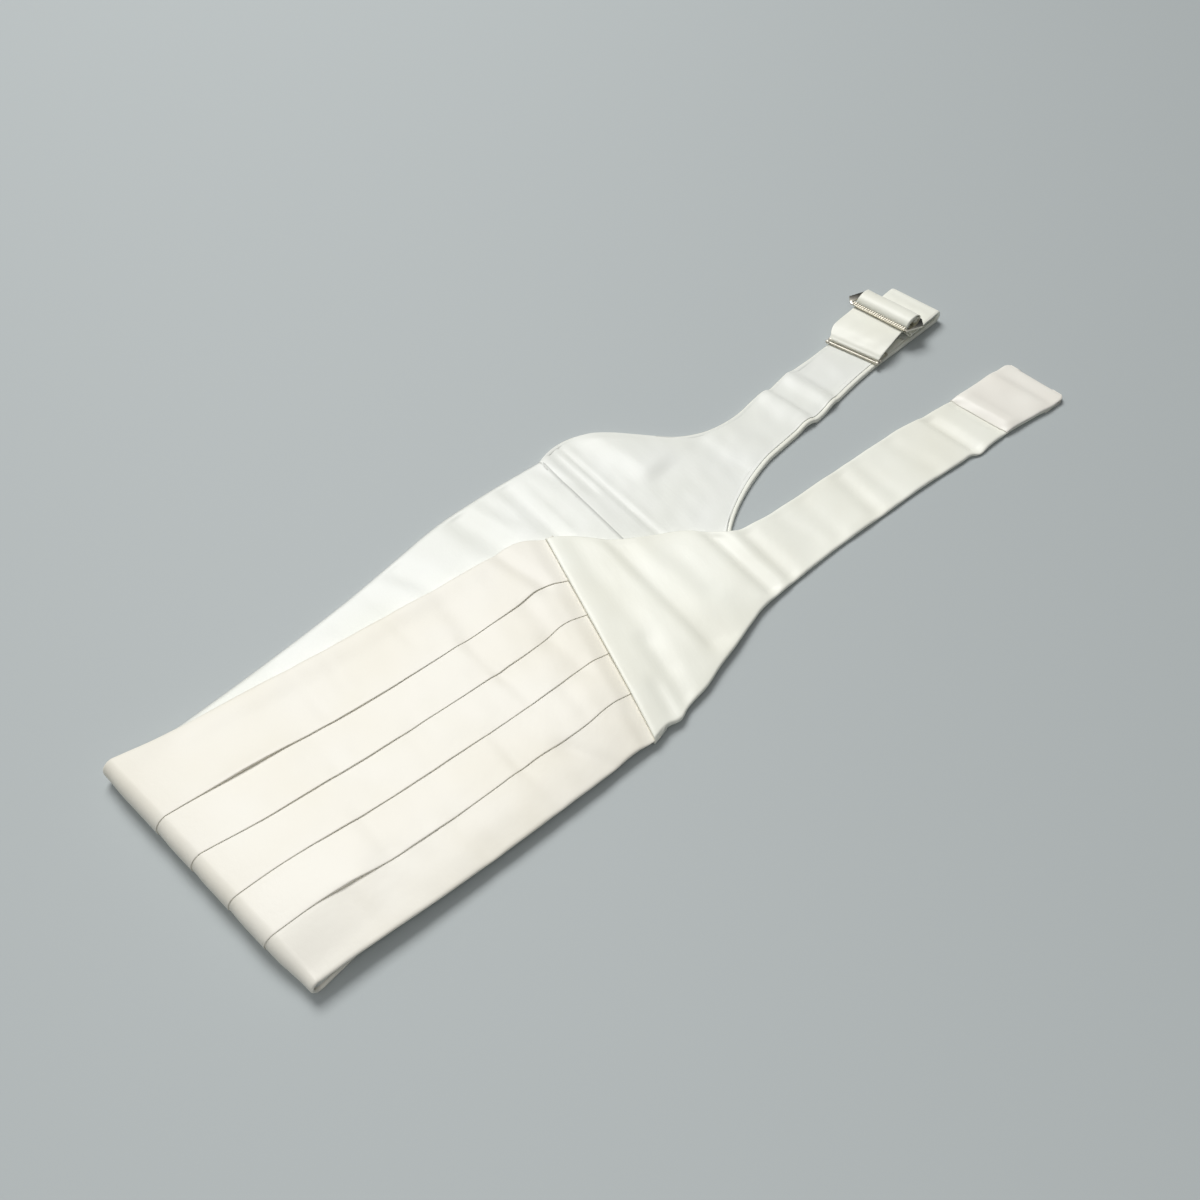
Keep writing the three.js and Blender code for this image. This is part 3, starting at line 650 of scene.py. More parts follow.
v, n, takes = pleated_section()
_, s = front_points(v, n)
share = front_rows["share"][:, None]
near_fold = smooth((s - 4) / 30)
n = n + takes * share * near_fold * np.maximum(top_relief(s, v), -0.9)
front_cloth_points, _ = front_points(v, n)
pleated_front = lay_cloth("pleated_front", front_cloth_points, thick=0.2)
finish_cloth(pleated_front, pleat_satin, "pleat_satin", "pleat_1", "pleat_2", "pleat_3", "pleat_4", "pleat_5")
print("the second pleat shows", round(float(np.mean(front_line("p1") - front_line("p2"))), 1), "mm")

# %% [markdown]
# ## The front's lining
#
# The lining is a plain cloth inside the fold. It shows where the bottom half reaches past the top
# half, so its creases are placed on that side, and it is flat where the top half presses it.

# %% Front lining
far, near = front_line("far"), front_line("near")
fractions = np.linspace(0, 1, 110)
inset = 0.9
v = mix((near + inset)[:, None], (far - inset)[:, None], 1 - fractions[None, :])
edge_distance = np.minimum(v - (near + inset)[:, None], (far - inset)[:, None] - v)
n = np.where(front_rows["share"][:, None] > 0.5, 0.1, 0.0) + 0.5 * (1 - smooth(edge_distance / 1.2))
points, s = front_points(v, n)
free = (1 - covered(points[:, :, 0], points[:, :, 1])) * (1 - front_rows["share"][:, None])
free = free * smooth((s - 6) / 30) * smooth(edge_distance / 4)
points[:, :, 2] += free * np.maximum(bottom_relief(s, v), -0.9)
front_lining = lay_cloth("lining_front", points, thick=0.5)
finish_cloth(front_lining, lining_satin, "lining_satin", "front_lining")


# %% [markdown]
# ## Wings and straps
#
# A wing and its strap are cut in one, with the seam allowance turned in all round. A raw cut sheet
# would look like paper, so the section has both edges rolled under. The same section serves both
# wings: h is 0 at the underside and 1 at the top, so a wing that lies face down is the same section
# turned over.

# %% The section of a strip with turned edges
def turned_strip(sections, middle, turn=1.1, under=8.0, low=0.2, edge_in=0.0, near_in=None):
    """Columns across a strip: s and v of each, its height share h, and its distance from the nearer edge.

    The strip can stop short of its far edge by edge_in, and of its near edge by near_in."""
    far_s, far_v, near_s, near_v = (sections[:, i : i + 1] for i in range(4))
    width = np.hypot(far_s - near_s, far_v - near_v)
    near_in = edge_in if near_in is None else near_in
    rolled = [(under, low), (3.6, low), (turn + 0.8, 0.02)]
    rolled += [(turn * (1 - math.cos(a)), (1 + math.sin(a)) / 2) for a in np.radians(EDGE_BEND)]
    distance, h = [], []
    for inward, height in rolled:
        distance.append(width - edge_in - inward)
        h.append(height)
    for f in np.linspace(0, 1, middle):
        distance.append(mix(width - edge_in - turn - 0.4, near_in + turn + 0.4, f))
        h.append(1.0)
    for inward, height in rolled[::-1]:
        distance.append(near_in + inward + 0 * width)
        h.append(height)
    distance = np.hstack(distance)
    share = distance / width
    from_edge = np.minimum(distance, width - distance)
    return mix(near_s, far_s, share), mix(near_v, far_v, share), np.array(h)[None, :] + 0 * share, from_edge


def fine_sections(sections, keys, step):
    """More sections between the given ones, about one for each step in mm along the strap."""
    at = np.arange(keys[0], keys[-1], step)
    return np.column_stack([through(keys, sections[:, i], at) for i in range(4)])


tab_keys = (TAB_WING[:, 0] + TAB_WING[:, 2]) / 2
tab_sections = fine_sections(TAB_WING, tab_keys, 1.5)
print("sections along the tab wing:", len(tab_sections))


# %% The wing and strap on top
def top_thick(s, v):
    """Thickness of the top wing: full at the side seam, where the allowances lie, and less beyond."""
    past = s - side_seam(TOP, v)
    return mix(FRONT_THICK, WING_THICK, smooth(past / 25)) + 0.35 * np.exp(-((past / 7) ** 2))


seam_under = np.array([6.0, 3.0, 1.0, 0.4, 0.1, 0.0, 0.1, 0.4])
seam_height = np.array([2.95, 2.95, 2.95, 3.0, 3.15, 3.35, 3.6, 3.8])
first = np.column_stack([through(tab_keys, TAB_WING[:, i], tab_keys[0] + seam_under) for i in range(4)])
rows = np.vstack([first, tab_sections[1:]])
s, v, h, from_edge = turned_strip(rows, 64)
x, y = spot(TOP, s, v)
upper = top_thick(s, v)
upper[: len(first)] = np.minimum(upper[: len(first)], seam_height[:, None])
relief = top_relief(s, v) * (0.5 + 0.5 * smooth(from_edge / 5))
relief[: len(first)] *= 0.3
relief = relief * h + 0.85 * np.maximum(relief, 0) * (1 - h)
tab_wing_points = np.stack([x, y, top_floor(x, y) + 0.1 + (upper - 0.1) * h + relief], axis=2)
tab_wing = lay_cloth("satin_tab_wing", tab_wing_points[:-3])
finish_cloth(tab_wing, wing_satin, "wing_satin", "tab_wing")

# %% Its lining
s, v, h, from_edge = turned_strip(tab_sections[1:-4], 20, turn=0.4, under=4.0, low=0.5, edge_in=3.0)
x, y = spot(TOP, s, v)
relief = 0.85 * np.maximum(top_relief(s, v), 0) * (0.5 + 0.5 * smooth(from_edge / 5))
points = np.stack([x, y, top_floor(x, y) + 0.05 + 0.5 * (1 - h) + relief], axis=2)
tab_lining = lay_cloth("lining_tab_wing", points[:, ::-1], thick=0.2)
finish_cloth(tab_lining, lining_satin, "lining_satin", "tab_wing_lining")

# %% [markdown]
# ## The stitched tab
#
# The end of this strap is covered by a short piece that is folded over the end and sewn down with one
# row of stitches. Its front edge makes a small step. The cloth goes over the top, round the end and a
# little way back underneath, so its rows follow that path.

# %% Tab
tab_start, tab_end = 418.0, 463.4
end_bend = np.radians([25, 50, 70, 90, 110, 130, 155, 180])
path_s = np.concatenate([
    tab_start + np.array([5, 2, 0.5, 0.1, 0, 0.15, 0.6]),
    np.linspace(tab_start + 1.5, tab_end - 1.6, 30),
    tab_end - 1.6 + 1.6 * np.sin(end_bend),
    np.linspace(tab_end - 3, tab_end - 16, 5),
])
path_n = np.concatenate([
    [2.36, 2.34, 2.36, 2.44, 2.56, 2.74, 2.82],
    np.full(30, 2.85),
    1.55 + 1.3 * np.cos(end_bend),
    np.full(5, 0.25),
])
tab_edge = np.column_stack([through(tab_keys, TAB_WING[:, i], np.clip(path_s, 410, 455)) for i in (1, 3)])
corner = 2.4 * np.clip((path_s - (tab_end - 4)) / 4, 0, 1) ** 2.4
lean = 0.9 * smooth((path_s - 440) / 20)
rows = np.column_stack([path_s + lean, tab_edge[:, 0] - corner, path_s - lean, tab_edge[:, 1] + corner * 0.9])
s, v, h, from_edge = turned_strip(rows, 26, turn=1.0, under=6.0, low=0.5)
x, y = spot(TOP, s, v)
hem = 1.2 * np.exp(-(((s - 424.9) / np.where(s < 424.9, 4.0, 5.0)) ** 2))
hem = hem + 0.7 * np.exp(-(((s - 447.5) / np.where(s < 447.5, 7.0, 4.0)) ** 2))
hem = hem - 0.2 * np.exp(-(((s - 424.8 + 0.03 * v) / 0.8) ** 2))
puff = (0.15 * ripple(s, v, 16, 11) + hem) * smooth((s - tab_start) / 1.5) * (path_n[:, None] > 2.7)
strap_relief = top_relief(s, v) * (0.5 + 0.5 * smooth(from_edge / 5)) * smooth((tab_end - 1 - s) / 4)
puff = puff * (0.4 + 0.6 * smooth(from_edge / 4)) + strap_relief * (path_n[:, None] > 2.3)
edge_drop = 1.4 * (1 - h) * (path_n[:, None] > 2.5)
points = np.stack([x, y, path_n[:, None] - edge_drop + puff], axis=2)
strap_tab = lay_cloth("satin_strap_tab", points, thick=0.35)
finish_cloth(strap_tab, tab_satin, "wing_satin", "strap_tab")

# %% [markdown]
# ## Stitches
#
# Lockstitch shows as short dashes of thread, about 2 mm long, each sunk at its ends. One
# stitch is modelled from a cylinder, narrowed at its ends, and copied along the row. It has only a
# few faces, because it is so small.

# %% One stitch and its row
thread_material, tree, shader = new_material("polyester_sewing_thread")
shader.inputs["Base Color"].default_value = colour("#F1EADF")
shader.inputs["Roughness"].default_value = 0.5
place = node(tree, "ShaderNodeTexCoord").outputs["Object"]
twist = node(tree, "ShaderNodeTexWave", Vector=place, Scale=900.0)
relief = node(tree, "ShaderNodeBump", Height=twist.outputs["Fac"], Strength=0.4, Distance=0.0001)
tree.links.new(relief.outputs["Normal"], shader.inputs["Normal"])
STITCH_LENGTH, THREAD_RADIUS = 0.0021, 0.00032


def apply_place():
    """Applies the chosen piece's place, turn and scale to its mesh."""
    bpy.ops.object.transform_apply(location=True, rotation=True, scale=True)


def stitch_row(name, places, heading):
    """Copies of one stitch at the places (mm), joined to one piece."""
    bpy.ops.object.select_all(action="DESELECT")
    bpy.ops.mesh.primitive_cylinder_add(
        vertices=6, radius=THREAD_RADIUS, depth=STITCH_LENGTH, rotation=(0, math.pi / 2, 0)
    )
    stitch = bpy.context.object
    bpy.ops.object.transform_apply(location=False, rotation=True, scale=False)
    bpy.ops.object.mode_set(mode="EDIT")
    bpy.ops.mesh.select_all(action="SELECT")
    bpy.ops.mesh.subdivide(number_cuts=1)
    bpy.ops.mesh.select_all(action="DESELECT")
    bpy.ops.object.mode_set(mode="OBJECT")
    for vertex in stitch.data.vertices:
        out = abs(vertex.co.x) / (STITCH_LENGTH / 2)
        vertex.co.z = vertex.co.z * (1 - 0.5 * out) - 0.00025 * out**2
        vertex.co.y *= 1 - 0.35 * out
    made = []
    for place in places:
        copy = stitch.copy()
        copy.data = stitch.data.copy()
        copy.location = [c / 1000 for c in place]
        copy.rotation_euler = (0, 0, heading)
        bpy.context.collection.objects.link(copy)
        made.append(copy)
    bpy.data.objects.remove(stitch)
    bpy.ops.object.select_all(action="DESELECT")
    for copy in made:
        copy.select_set(True)
    bpy.context.view_layer.objects.active = made[0]
    bpy.ops.object.join()
    apply_place()
    row = bpy.context.object
    row.name = row.data.name = name
    bpy.ops.object.shade_smooth()
    row.data.materials.append(thread_material)
    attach(row, "root")
    print(name, "has", len(made), "stitches")


row_v = np.arange(-30.6, -0.5, 2.9)
row_s = 424.6 - 0.03 * row_v
row_x, row_y = spot(TOP, row_s, row_v)
stitch_row("tab_stitches", np.column_stack([row_x, row_y, 0 * row_x + 3.6]), math.radians(85.5))

# %% [markdown]
# ## The adjuster wing
#
# The bottom half's wing lies face down, so its lining is on top and its satin shows only as a narrow
# band along the edges, where the allowance is turned over. At its end the strap turns back over
# itself, face up, and stops under the slide.

# %% Its satin, face down and then turned back
adjuster_keys = (ADJUSTER_WING[:, 0] + ADJUSTER_WING[:, 2]) / 2
adjuster_sections = fine_sections(ADJUSTER_WING, adjuster_keys, 1.6)
BACK_AXIS, BACK_END = (466.6, 3.9), 439.0
BACK_FAR, BACK_NEAR = 7.2, -23.2


def lift_adjuster(s, v):
    """The whole strap stands off the table a little where it is creased."""
    return 0.8 * np.maximum(bottom_relief(s, v), 0) * smooth((s - 300) / 20) * smooth((405 - s) / 8)


turn_angles = np.radians(np.linspace(-80, 80, 11))
back_s = np.linspace(BACK_AXIS[0] - 1, BACK_END, 18)
back = smooth((BACK_AXIS[0] - back_s) / (BACK_AXIS[0] - BACK_END))
end_row = ADJUSTER_WING[-1]
turn_rows = np.repeat(end_row[None, :], len(turn_angles), axis=0)
slant = 0.1 * back
back_rows = np.column_stack([
    back_s - slant * BACK_FAR, mix(end_row[1], BACK_FAR, back),
    back_s - slant * BACK_NEAR, mix(end_row[3], BACK_NEAR, back),
])


def strip_angles(back_count):
    """The angle of each section: face down, round the turn, and face up in the turned-back end."""
    down = np.full(len(adjuster_sections), -np.pi / 2)
    return np.concatenate([down, turn_angles, np.full(back_count, np.pi / 2)])[:, None]


rows = np.vstack([adjuster_sections, turn_rows, back_rows])
s, v, h, from_edge = turned_strip(rows, 30, turn=1.2, under=9.0, low=0.12)
angle = strip_angles(len(back_rows))
allowance = 2.2 * (1 - h) * smooth(from_edge / 0.6 + 0.4)
allowance = allowance - 0.45 * (1 - h) * smooth((from_edge - 2.2) / 2)
drawn = np.where(angle < -1.5, lift_adjuster(s, v), 0)
reach = BACK_AXIS[1] - allowance
x, y = spot(BOTTOM, s + reach * np.cos(angle), v)
z = BACK_AXIS[1] + reach * np.sin(angle) + drawn
band = 0.12 * ripple(s, v, 9, 15) * smooth((s - 440) / 10) * (angle > 1.5)
band = band + 0.18 * np.sin((s - 440) * 2 * math.pi / 9.0) * (angle > 1.5) * h * smooth(from_edge / 4)
points = np.stack([x, y, z + band], axis=2)
adjuster_wing = lay_cloth("satin_adjuster_wing", points[:, ::-1], thick=0.4)
finish_cloth(adjuster_wing, wing_satin, "wing_satin", "adjuster_wing")

# %% Its lining, face up and then turned back inside
rows = np.vstack([adjuster_sections, turn_rows, back_rows[:-2]])
s, v, h, from_edge = turned_strip(rows, 52, turn=0.35, under=3.0, low=0.2, edge_in=1.0, near_in=2.4)
angle = strip_angles(len(back_rows) - 2)
inner = BACK_AXIS[1] - bottom_wing_thick(s, v) + 0.3 * (1 - h)
x, y = spot(BOTTOM, s + inner * np.cos(angle), v)
z = BACK_AXIS[1] + inner * np.sin(angle)
lying = angle < -1.5
free = 1 - covered(x, y)
lift = lift_adjuster(s, v)
creased = np.maximum(bottom_relief(s, v) - lift, -0.5) * free * (0.4 + 0.6 * smooth((from_edge - 2) / 5))
creased = creased * (0.6 + 0.4 * h)
under_hook = 1 - 0.8 * smooth((s - 396) / 10)
z = z + np.where(lying, lift + creased * under_hook, 0)
adjuster_lining = lay_cloth("lining_adjuster_wing", np.stack([x, y, z], axis=2), thick=0.35)
finish_cloth(adjuster_lining, lining_satin, "lining_satin", "adjuster_wing_lining")

# %% [markdown]
# ## The cloth round the hook and the slide
#
# The hook hangs in a loop: the strap's own end comes out of the slide, goes round the hook's bar and
# back under itself. On the slide's middle bar the cloth is rolled up tight. Both are strips
# of doubled satin, so both are laid along a curved path.

# %% Hook loop
LOOP = {"turn": 413.1, "z": 4.6, "radius": 2.0, "near": -20.4, "front_far": 8.6, "far": 12.7}
upper_s = np.linspace(LOOP["turn"] - 1.2, 440.5, 32)
lower_s = np.linspace(438.0, LOOP["turn"] + 0.6, 18)
loop_angles = np.radians(np.linspace(-80, 15, 9))
rise_s = [411.9, 413.1, 415.5, 418.5, 421.5, 425, 431, 441]
upper_z = through(rise_s, [5.2, 6.2, 7.1, 8.1, 8.6, 8.8, 8.7, 9.0], upper_s)
path = np.concatenate([
    np.column_stack([lower_s, np.full(len(lower_s), LOOP["z"] - LOOP["radius"])]),
    np.column_stack([
        LOOP["turn"] - LOOP["radius"] * np.cos(loop_angles), LOOP["z"] + LOOP["radius"] * np.sin(loop_angles)
    ]),
    np.column_stack([upper_s, upper_z]),
])
far_edge = mix(LOOP["front_far"], LOOP["far"], smooth((path[:, 0] - LOOP["turn"] + 2) / 9) ** 0.45)
near_edge = mix(LOOP["near"], LOOP["near"] + 1.7, smooth((path[:, 0] - 418) / 20) * (path[:, 1] > LOOP["z"]))
slant = mix(0.15, 0.1, smooth((path[:, 0] - LOOP["turn"]) / 20))
rows = np.column_stack([path[:, 0] - slant * far_edge, far_edge, path[:, 0] - slant * near_edge, near_edge])
s, v, h, from_edge = turned_strip(rows, 26, turn=0.5, under=4.0, low=0.3)
upper_side = 0.35 + 0.65 * smooth((upper_s - LOOP["turn"] + 1.2) / 3)
side = np.concatenate([np.full(len(lower_s), -1.0), np.sin(loop_angles), upper_side])[:, None]
inward = 0.75 * (1 - h)
swell = 0.35 * np.sin(np.clip((s - 416) / 22, 0, 1) * math.pi) * smooth(from_edge / 8)
swell = swell + 0.12 * ripple(s, v, 11, 21)
z = path[:, 1][:, None] - side * inward + np.where(side > 0.9, swell * smooth(from_edge / 3), 0)
turn_in = np.concatenate([np.zeros(len(lower_s)), np.cos(loop_angles), np.sqrt(1 - upper_side**2)])[:, None]
x, y = spot(BOTTOM, s + turn_in * inward, v)
hook_loop = lay_cloth("satin_hook_loop", np.stack([x, y, z], axis=2), thick=0.35)
finish_cloth(hook_loop, wing_satin, "wing_satin", "hook_loop")

# %% Roll on the slide
SLIDE = {"s": 444.2, "v": -3.3, "z": 9.6, "plate": 1.2, "turn": math.radians(2.9)}


def on_slide(x, y):
    """Plan position of a point given from the slide's middle: x towards the strap's end, y across."""
    centre = spot(BOTTOM, SLIDE["s"], SLIDE["v"])
    c, d = math.cos(SLIDE["turn"]), math.sin(SLIDE["turn"])
    return centre[0] + x * c - y * d, centre[1] + x * d + y * c


roll_angle = np.linspace(-0.2 * math.pi, 3.8 * math.pi, 74)
tighten = np.linspace(0, 1, len(roll_angle)) ** 1.6
half_depth, half_height = mix(6.3, 3.3, tighten), mix(3.6, 1.7, tighten)
across = np.linspace(-17.4, 15.4, 40)
end_wander = 0.25 * ripple(roll_angle[:, None] * 3, across[None, :] * 0, 8, 31) * np.sign(across)[None, :]
soft = 1 + 0.018 * ripple(roll_angle[:, None] * 4, across[None, :], 14, 32)
roll_x = 0.5 - half_depth[:, None] * np.sin(roll_angle)[:, None] * soft
roll_z = 11.6 - half_height[:, None] * np.cos(roll_angle)[:, None] * soft
x, y = on_slide(roll_x, across[None, :] + end_wander)
strap_roll = lay_cloth("satin_strap_roll", np.stack([x, y, roll_z], axis=2), thick=0.45)
finish_cloth(strap_roll, wing_satin, "wing_satin", "strap_roll")

# %% [markdown]
# ## Nickel-plated steel
#
# The slide is stamped from sheet steel and the hook bent from wire; both are nickel plated. Nickel is
# a slightly warm, bright metal. Plating over a stamped blank is smooth but not a mirror, with fine
# wear along its edges.

# %% Metal material
def plated_steel(name, smoothest, dullest):
    """Nickel plate whose roughness wanders between two values, as it does with wear."""
    made, tree, shader = new_material(name)
    place = node(tree, "ShaderNodeTexCoord").outputs["Object"]
    wear = node(tree, "ShaderNodeTexNoise", Vector=place, Scale=60.0, Detail=2.0)
    dull = node(
        tree, "ShaderNodeMapRange", Value=wear.outputs["Fac"], From_Min=0.3, From_Max=0.7, To_Min=smoothest,
        To_Max=dullest
    )
    warm = node(tree, "ShaderNodeValToRGB", Fac=wear.outputs["Fac"])
    warm.color_ramp.elements[0].color = colour("#DAD4C5")
    warm.color_ramp.elements[1].color = colour("#E0DBCF")
    tree.links.new(warm.outputs["Color"], shader.inputs["Base Color"])
    tree.links.new(dull.outputs["Result"], shader.inputs["Roughness"])
    shader.inputs["Metallic"].default_value = 1.0
    return made


polished_nickel = plated_steel("polished_nickel_plate", 0.2, 0.26)  # on the flat stamped frame
tumbled_nickel = plated_steel("tumbled_nickel_plate", 0.5, 0.54)  # on the ribs and the wire, duller
print("metals:", polished_nickel.name, tumbled_nickel.name)


def choose(piece):
    """Makes a piece the only selected one, and the active one, for the next operator."""
    bpy.ops.object.select_all(action="DESELECT")
    piece.select_set(True)
    bpy.context.view_layer.objects.active = piece


def finish_metal(piece, nickel, *nodes):
    """Smooths a metal piece, plates it and hides the pieces of the frame that it stands for."""
    choose(piece)
    bpy.ops.object.shade_smooth_by_angle(angle=math.radians(40))
    piece.data.materials.clear()
    piece.data.materials.append(nickel)
    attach(piece, "root")
    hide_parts(*nodes)
    print(piece.name, "has", len(piece.data.polygons), "faces")


def place_on_slide(piece, z):
    """Turns and moves a piece made round the slide's middle to its place, and applies that."""
    x, y = on_slide(0, 0)
    piece.location = (x / 1000, y / 1000, z / 1000)
    piece.rotation_euler = (0, 0, SLIDE["turn"])
    choose(piece)
    apply_place()


# %% [markdown]
# ## The slide
#
# A flat stamped frame with a point at each end and two windows, one on each side of the middle bar.
# It starts as a six-cornered plate. Its corners are moved to the points and shoulders, it is given
# its thickness, the windows are cut with two boxes, and a small bevel gives the rounded edges that
# catch the light.

# %% Slide frame
bpy.ops.object.select_all(action="DESELECT")
bpy.ops.mesh.primitive_circle_add(vertices=6, radius=0.02, fill_type="NGON")
slide = bpy.context.object
slide.name = slide.data.name = "slide"
outline = [(-2.8, 22.2), (-7.3, 18.3), (-7.3, -18.3), (2.8, -22.2), (7.3, -18.3), (7.3, 18.3)]
order = sorted(range(6), key=lambda i: math.atan2(slide.data.vertices[i].co.y, slide.data.vertices[i].co.x))
corners = sorted(outline, key=lambda p: math.atan2(p[1], p[0]))
for i, (px, py) in zip(order, corners):
    slide.data.vertices[i].co = (px / 1000, py / 1000, 0)
bpy.ops.object.mode_set(mode="EDIT")
bpy.ops.mesh.select_all(action="SELECT")
bpy.ops.mesh.extrude_region_move(TRANSFORM_OT_translate={"value": (0, 0, SLIDE["plate"] / 1000)})
bpy.ops.mesh.select_all(action="SELECT")
bpy.ops.mesh.normals_make_consistent(inside=False)
bpy.ops.object.mode_set(mode="OBJECT")
for side in (-1, 1):
    bpy.ops.object.select_all(action="DESELECT")
    bpy.ops.mesh.primitive_cube_add(size=0.001, location=(side * 0.0031, 0, 0.0006), scale=(4.0, 35.0, 4.0))
    window = bpy.context.object
    apply_place()
    choose(slide)
    modify(slide, "BOOLEAN", operation="DIFFERENCE", object=window, solver="EXACT")
    bpy.data.objects.remove(window)
choose(slide)
modify(slide, "BEVEL", width=0.00028, segments=2, limit_method="ANGLE")
place_on_slide(slide, SLIDE["z"])
finish_metal(slide, polished_nickel, "slide_frame")

# %% [markdown]
# ## The ribbed grip
#
# A strip of fine ribs on the slide's front bar bites into the cloth. One rib is a small box with its
# edges rounded, and an array repeats it along the bar.

# %% Ribs
RIBS, PITCH = 25, 1.36
bpy.ops.object.select_all(action="DESELECT")
bpy.ops.mesh.primitive_cube_add(size=0.001, location=(0, 0, 0.00035), scale=(2.0, 0.9, 0.9))
grip = bpy.context.object
grip.name = grip.data.name = "grip_ribs"
apply_place()
modify(grip, "BEVEL", width=0.00036, segments=3)
modify(
    grip, "ARRAY", count=RIBS, use_relative_offset=False, use_constant_offset=True,
    constant_offset_displace=(0, PITCH / 1000, 0)
)
row_length = (RIBS - 1) * PITCH
bpy.ops.mesh.primitive_cube_add(
    size=0.001, location=(0, row_length / 2000, 0.00015), scale=(2.3, row_length + 1.2, 0.3)
)
strip = bpy.context.object
apply_place()
choose(grip)
strip.select_set(True)
bpy.ops.object.join()
for vertex in grip.data.vertices:
    vertex.co.z += 0.22 * vertex.co.x  # the ribs slant down to the front
    vertex.co.x -= 0.0063
    vertex.co.y -= row_length / 2000
place_on_slide(grip, SLIDE["z"] + SLIDE["plate"] - 0.05)
finish_metal(grip, tumbled_nickel, "slide_grip")

# %% [markdown]
# ## The hook
#
# The hook is a frame of round wire, closed into a long rectangle, with a second bar beside the front
# one and a small knob at each of their ends where the wire was pinched. A wire is a curve with a
# round section, turned into a mesh.

# %% Wire frame, second bar and knobs
HOOK = {"front": 410.0, "second": 412.8, "rear": 420.0, "far": 9.6, "near": -20.4, "z": 3.4, "wire": 1.2}


def hook_place(s, v, z=None):
    x, y = spot(BOTTOM, s - 0.15 * v, v)
    return (x / 1000, y / 1000, (HOOK["z"] if z is None else z) / 1000)


def wire(name, places, closed):
    """A round wire through the places, as a mesh."""
    line = bpy.data.curves.new(name, "CURVE")
    line.dimensions = "3D"
    line.bevel_depth = HOOK["wire"] / 2000
    line.bevel_resolution = 5
    line.use_fill_caps = True
    path = line.splines.new("POLY")
    path.points.add(len(places) - 1)
    for point, place in zip(path.points, places):
        point.co = (*place, 1)
    path.use_cyclic_u = closed
    made = bpy.data.objects.new(name, line)
    bpy.context.collection.objects.link(made)
    choose(made)
    bpy.ops.object.convert(target="MESH")
    return bpy.context.object


def rounded_corners(corners, radius, steps=5):
    """The corners of a frame, each replaced by an arc of a few places."""
    made = []
    for i, (s, v) in enumerate(corners):
        before, after = np.array(corners[i - 1]), np.array(corners[(i + 1) % len(corners)])
        here = np.array((s, v), float)
        first, last = ((p - here) / np.linalg.norm(p - here) * radius for p in (before, after))
        for f in np.linspace(0, 1, steps):
            made.append(here + first * (1 - f) ** 2 + last * f**2)
    return [hook_place(*p) for p in made]


frame_corners = [
    (HOOK["front"], HOOK["near"]), (HOOK["front"], HOOK["far"]),
    (HOOK["rear"], HOOK["far"]), (HOOK["rear"], HOOK["near"]),
]
hook = wire("hook", rounded_corners(frame_corners, 0.9), True)
second_bar = wire("second_bar", [hook_place(HOOK["second"], v) for v in (HOOK["near"], HOOK["far"])], False)
knobs = []
for v in (HOOK["near"], HOOK["far"]):
    for s in (HOOK["front"], HOOK["second"]):
        bpy.ops.object.select_all(action="DESELECT")
        bpy.ops.mesh.primitive_uv_sphere_add(
            segments=14, ring_count=10, radius=0.0011, location=hook_place(s, v)
        )
        bpy.context.object.scale = (1, 1.25, 0.9)
        bpy.ops.object.transform_apply(location=False, rotation=False, scale=True)
        knobs.append(bpy.context.object)
bpy.ops.object.select_all(action="DESELECT")
for piece in [second_bar, *knobs, hook]:
    piece.select_set(True)
bpy.context.view_layer.objects.active = hook
bpy.ops.object.join()
apply_place()
finish_metal(hook, tumbled_nickel, "hook_ring")

# %% [markdown]
# ## What each cloth was cut from
#
# Each cloth's flat size, the size that it was cut to, is worked out and printed beside its modelled area: the
# area inside its pattern's outline, plus its tucks, hems and turned ends. These come from the outlines and
# from guessed allowances, not from the finished cloths, so a cloth stretched badly by being laid would show.
# The width and the length are those of the rectangle that holds the cut piece, rounded up to the next 5 mm.


# %% Flat sizes
def inside(far, near):
    """Area between a far and a near edge, each given as rows of s and v."""
    s, v = np.vstack([far, near[::-1]]).T
    return 0.5 * abs(np.dot(s, np.roll(v, -1)) - np.dot(v, np.roll(s, -1))) * math.cos(TURN)


def strip_cut(sections, hems):
    """Cut area of a wing: its outline, and hems, the cloth added along each edge less what is left off."""
    far, near = sections[:, :2], sections[:, 2:]
    edge = sum(np.linalg.norm(np.diff(line, axis=0), axis=1).sum() for line in (far, near)) / 2
    return inside(far, near) + hems * edge


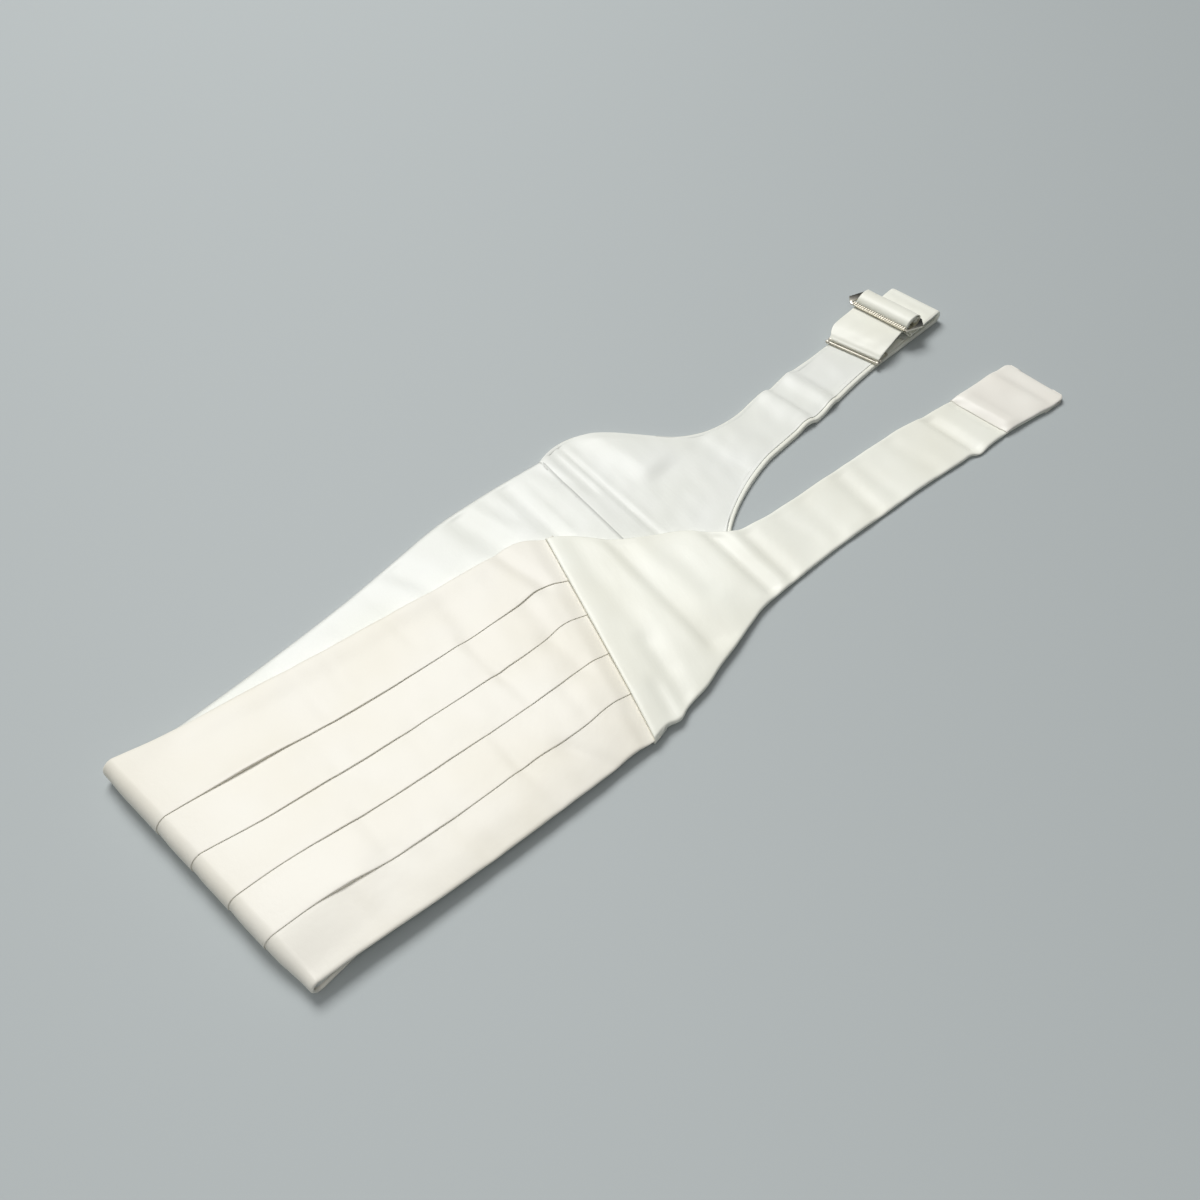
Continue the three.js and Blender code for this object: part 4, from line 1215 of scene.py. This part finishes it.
def front_cut(added):
    """Cut area of a cloth of the front: both halves, the turn of the fold, and what is added to its width."""
    t = np.linspace(0, 1, 30)
    fold_turn = math.pi * (FOLD_INSIDE + 2)
    fold_width = 127
    total, length = 0, fold_turn
    for half in (TOP, BOTTOM):
        lines = [front_edge(half, name, t) for name in ("far", "near")]
        total += inside(*(np.column_stack([t * side_seam(half, v), v]) for v in lines))
        length += float(side_seam(half, 0))
    return total + fold_turn * fold_width + added * length


def cut_size(cloth, width, length, area):
    made = sum(face.area for face in cloth.data.polygons) / 2 * 1e4
    print(f"{cloth.name}: cut {width} x {length} mm, {area / 100:.1f} cm2, and modelled {made:.1f} cm2")


STRAP_WIDTH, BACK_WIDTH = 33, 31
SEAM_HEM, SEAM_LENGTH = 6, 120
ROLL_TURNS, ROLL_RADIUS, ROLL_WIDTH = 2, 4.0, 32.8
turned_back = math.pi * (BACK_AXIS[1] - 1) + BACK_AXIS[0] - BACK_END
tab_length = 5 + 45.4 + 4 + 13  # turned under in front, the top, round the end, and back below
loop_length = 24 + 6 + 29  # the lower layer, round the bar, and the upper layer
pleats_added = 8 * TUCK + 2 * 11 + 4  # four doubled tucks, both edges turned in, and the folded edges
cut_size(pleated_front, 210, 450, front_cut(pleats_added))
cut_size(front_lining, 130, 450, front_cut(-2 * inset))
cut_size(
    tab_wing, 135, 310, strip_cut(TAB_WING[:-1], 2 * (8 + 1)) + SEAM_HEM * SEAM_LENGTH,
)
cut_size(tab_lining, 120, 305, strip_cut(TAB_WING[:-1], 2 * (4 - 3)))
cut_size(strap_tab, 45, 70, tab_length * (STRAP_WIDTH + 2 * 6))
cut_size(
    adjuster_wing, 145, 285, strip_cut(ADJUSTER_WING, 2 * (9 + 1)) + turned_back * (BACK_WIDTH + 20),
)
cut_size(
    adjuster_lining, 130, 280, strip_cut(ADJUSTER_WING, 2 * 3 - 3.4) + (turned_back - 7) * (BACK_WIDTH + 2.6),
)
cut_size(hook_loop, 45, 60, loop_length * (STRAP_WIDTH + 2 * 4))
cut_size(strap_roll, 35, 55, ROLL_TURNS * 2 * math.pi * ROLL_RADIUS * ROLL_WIDTH)
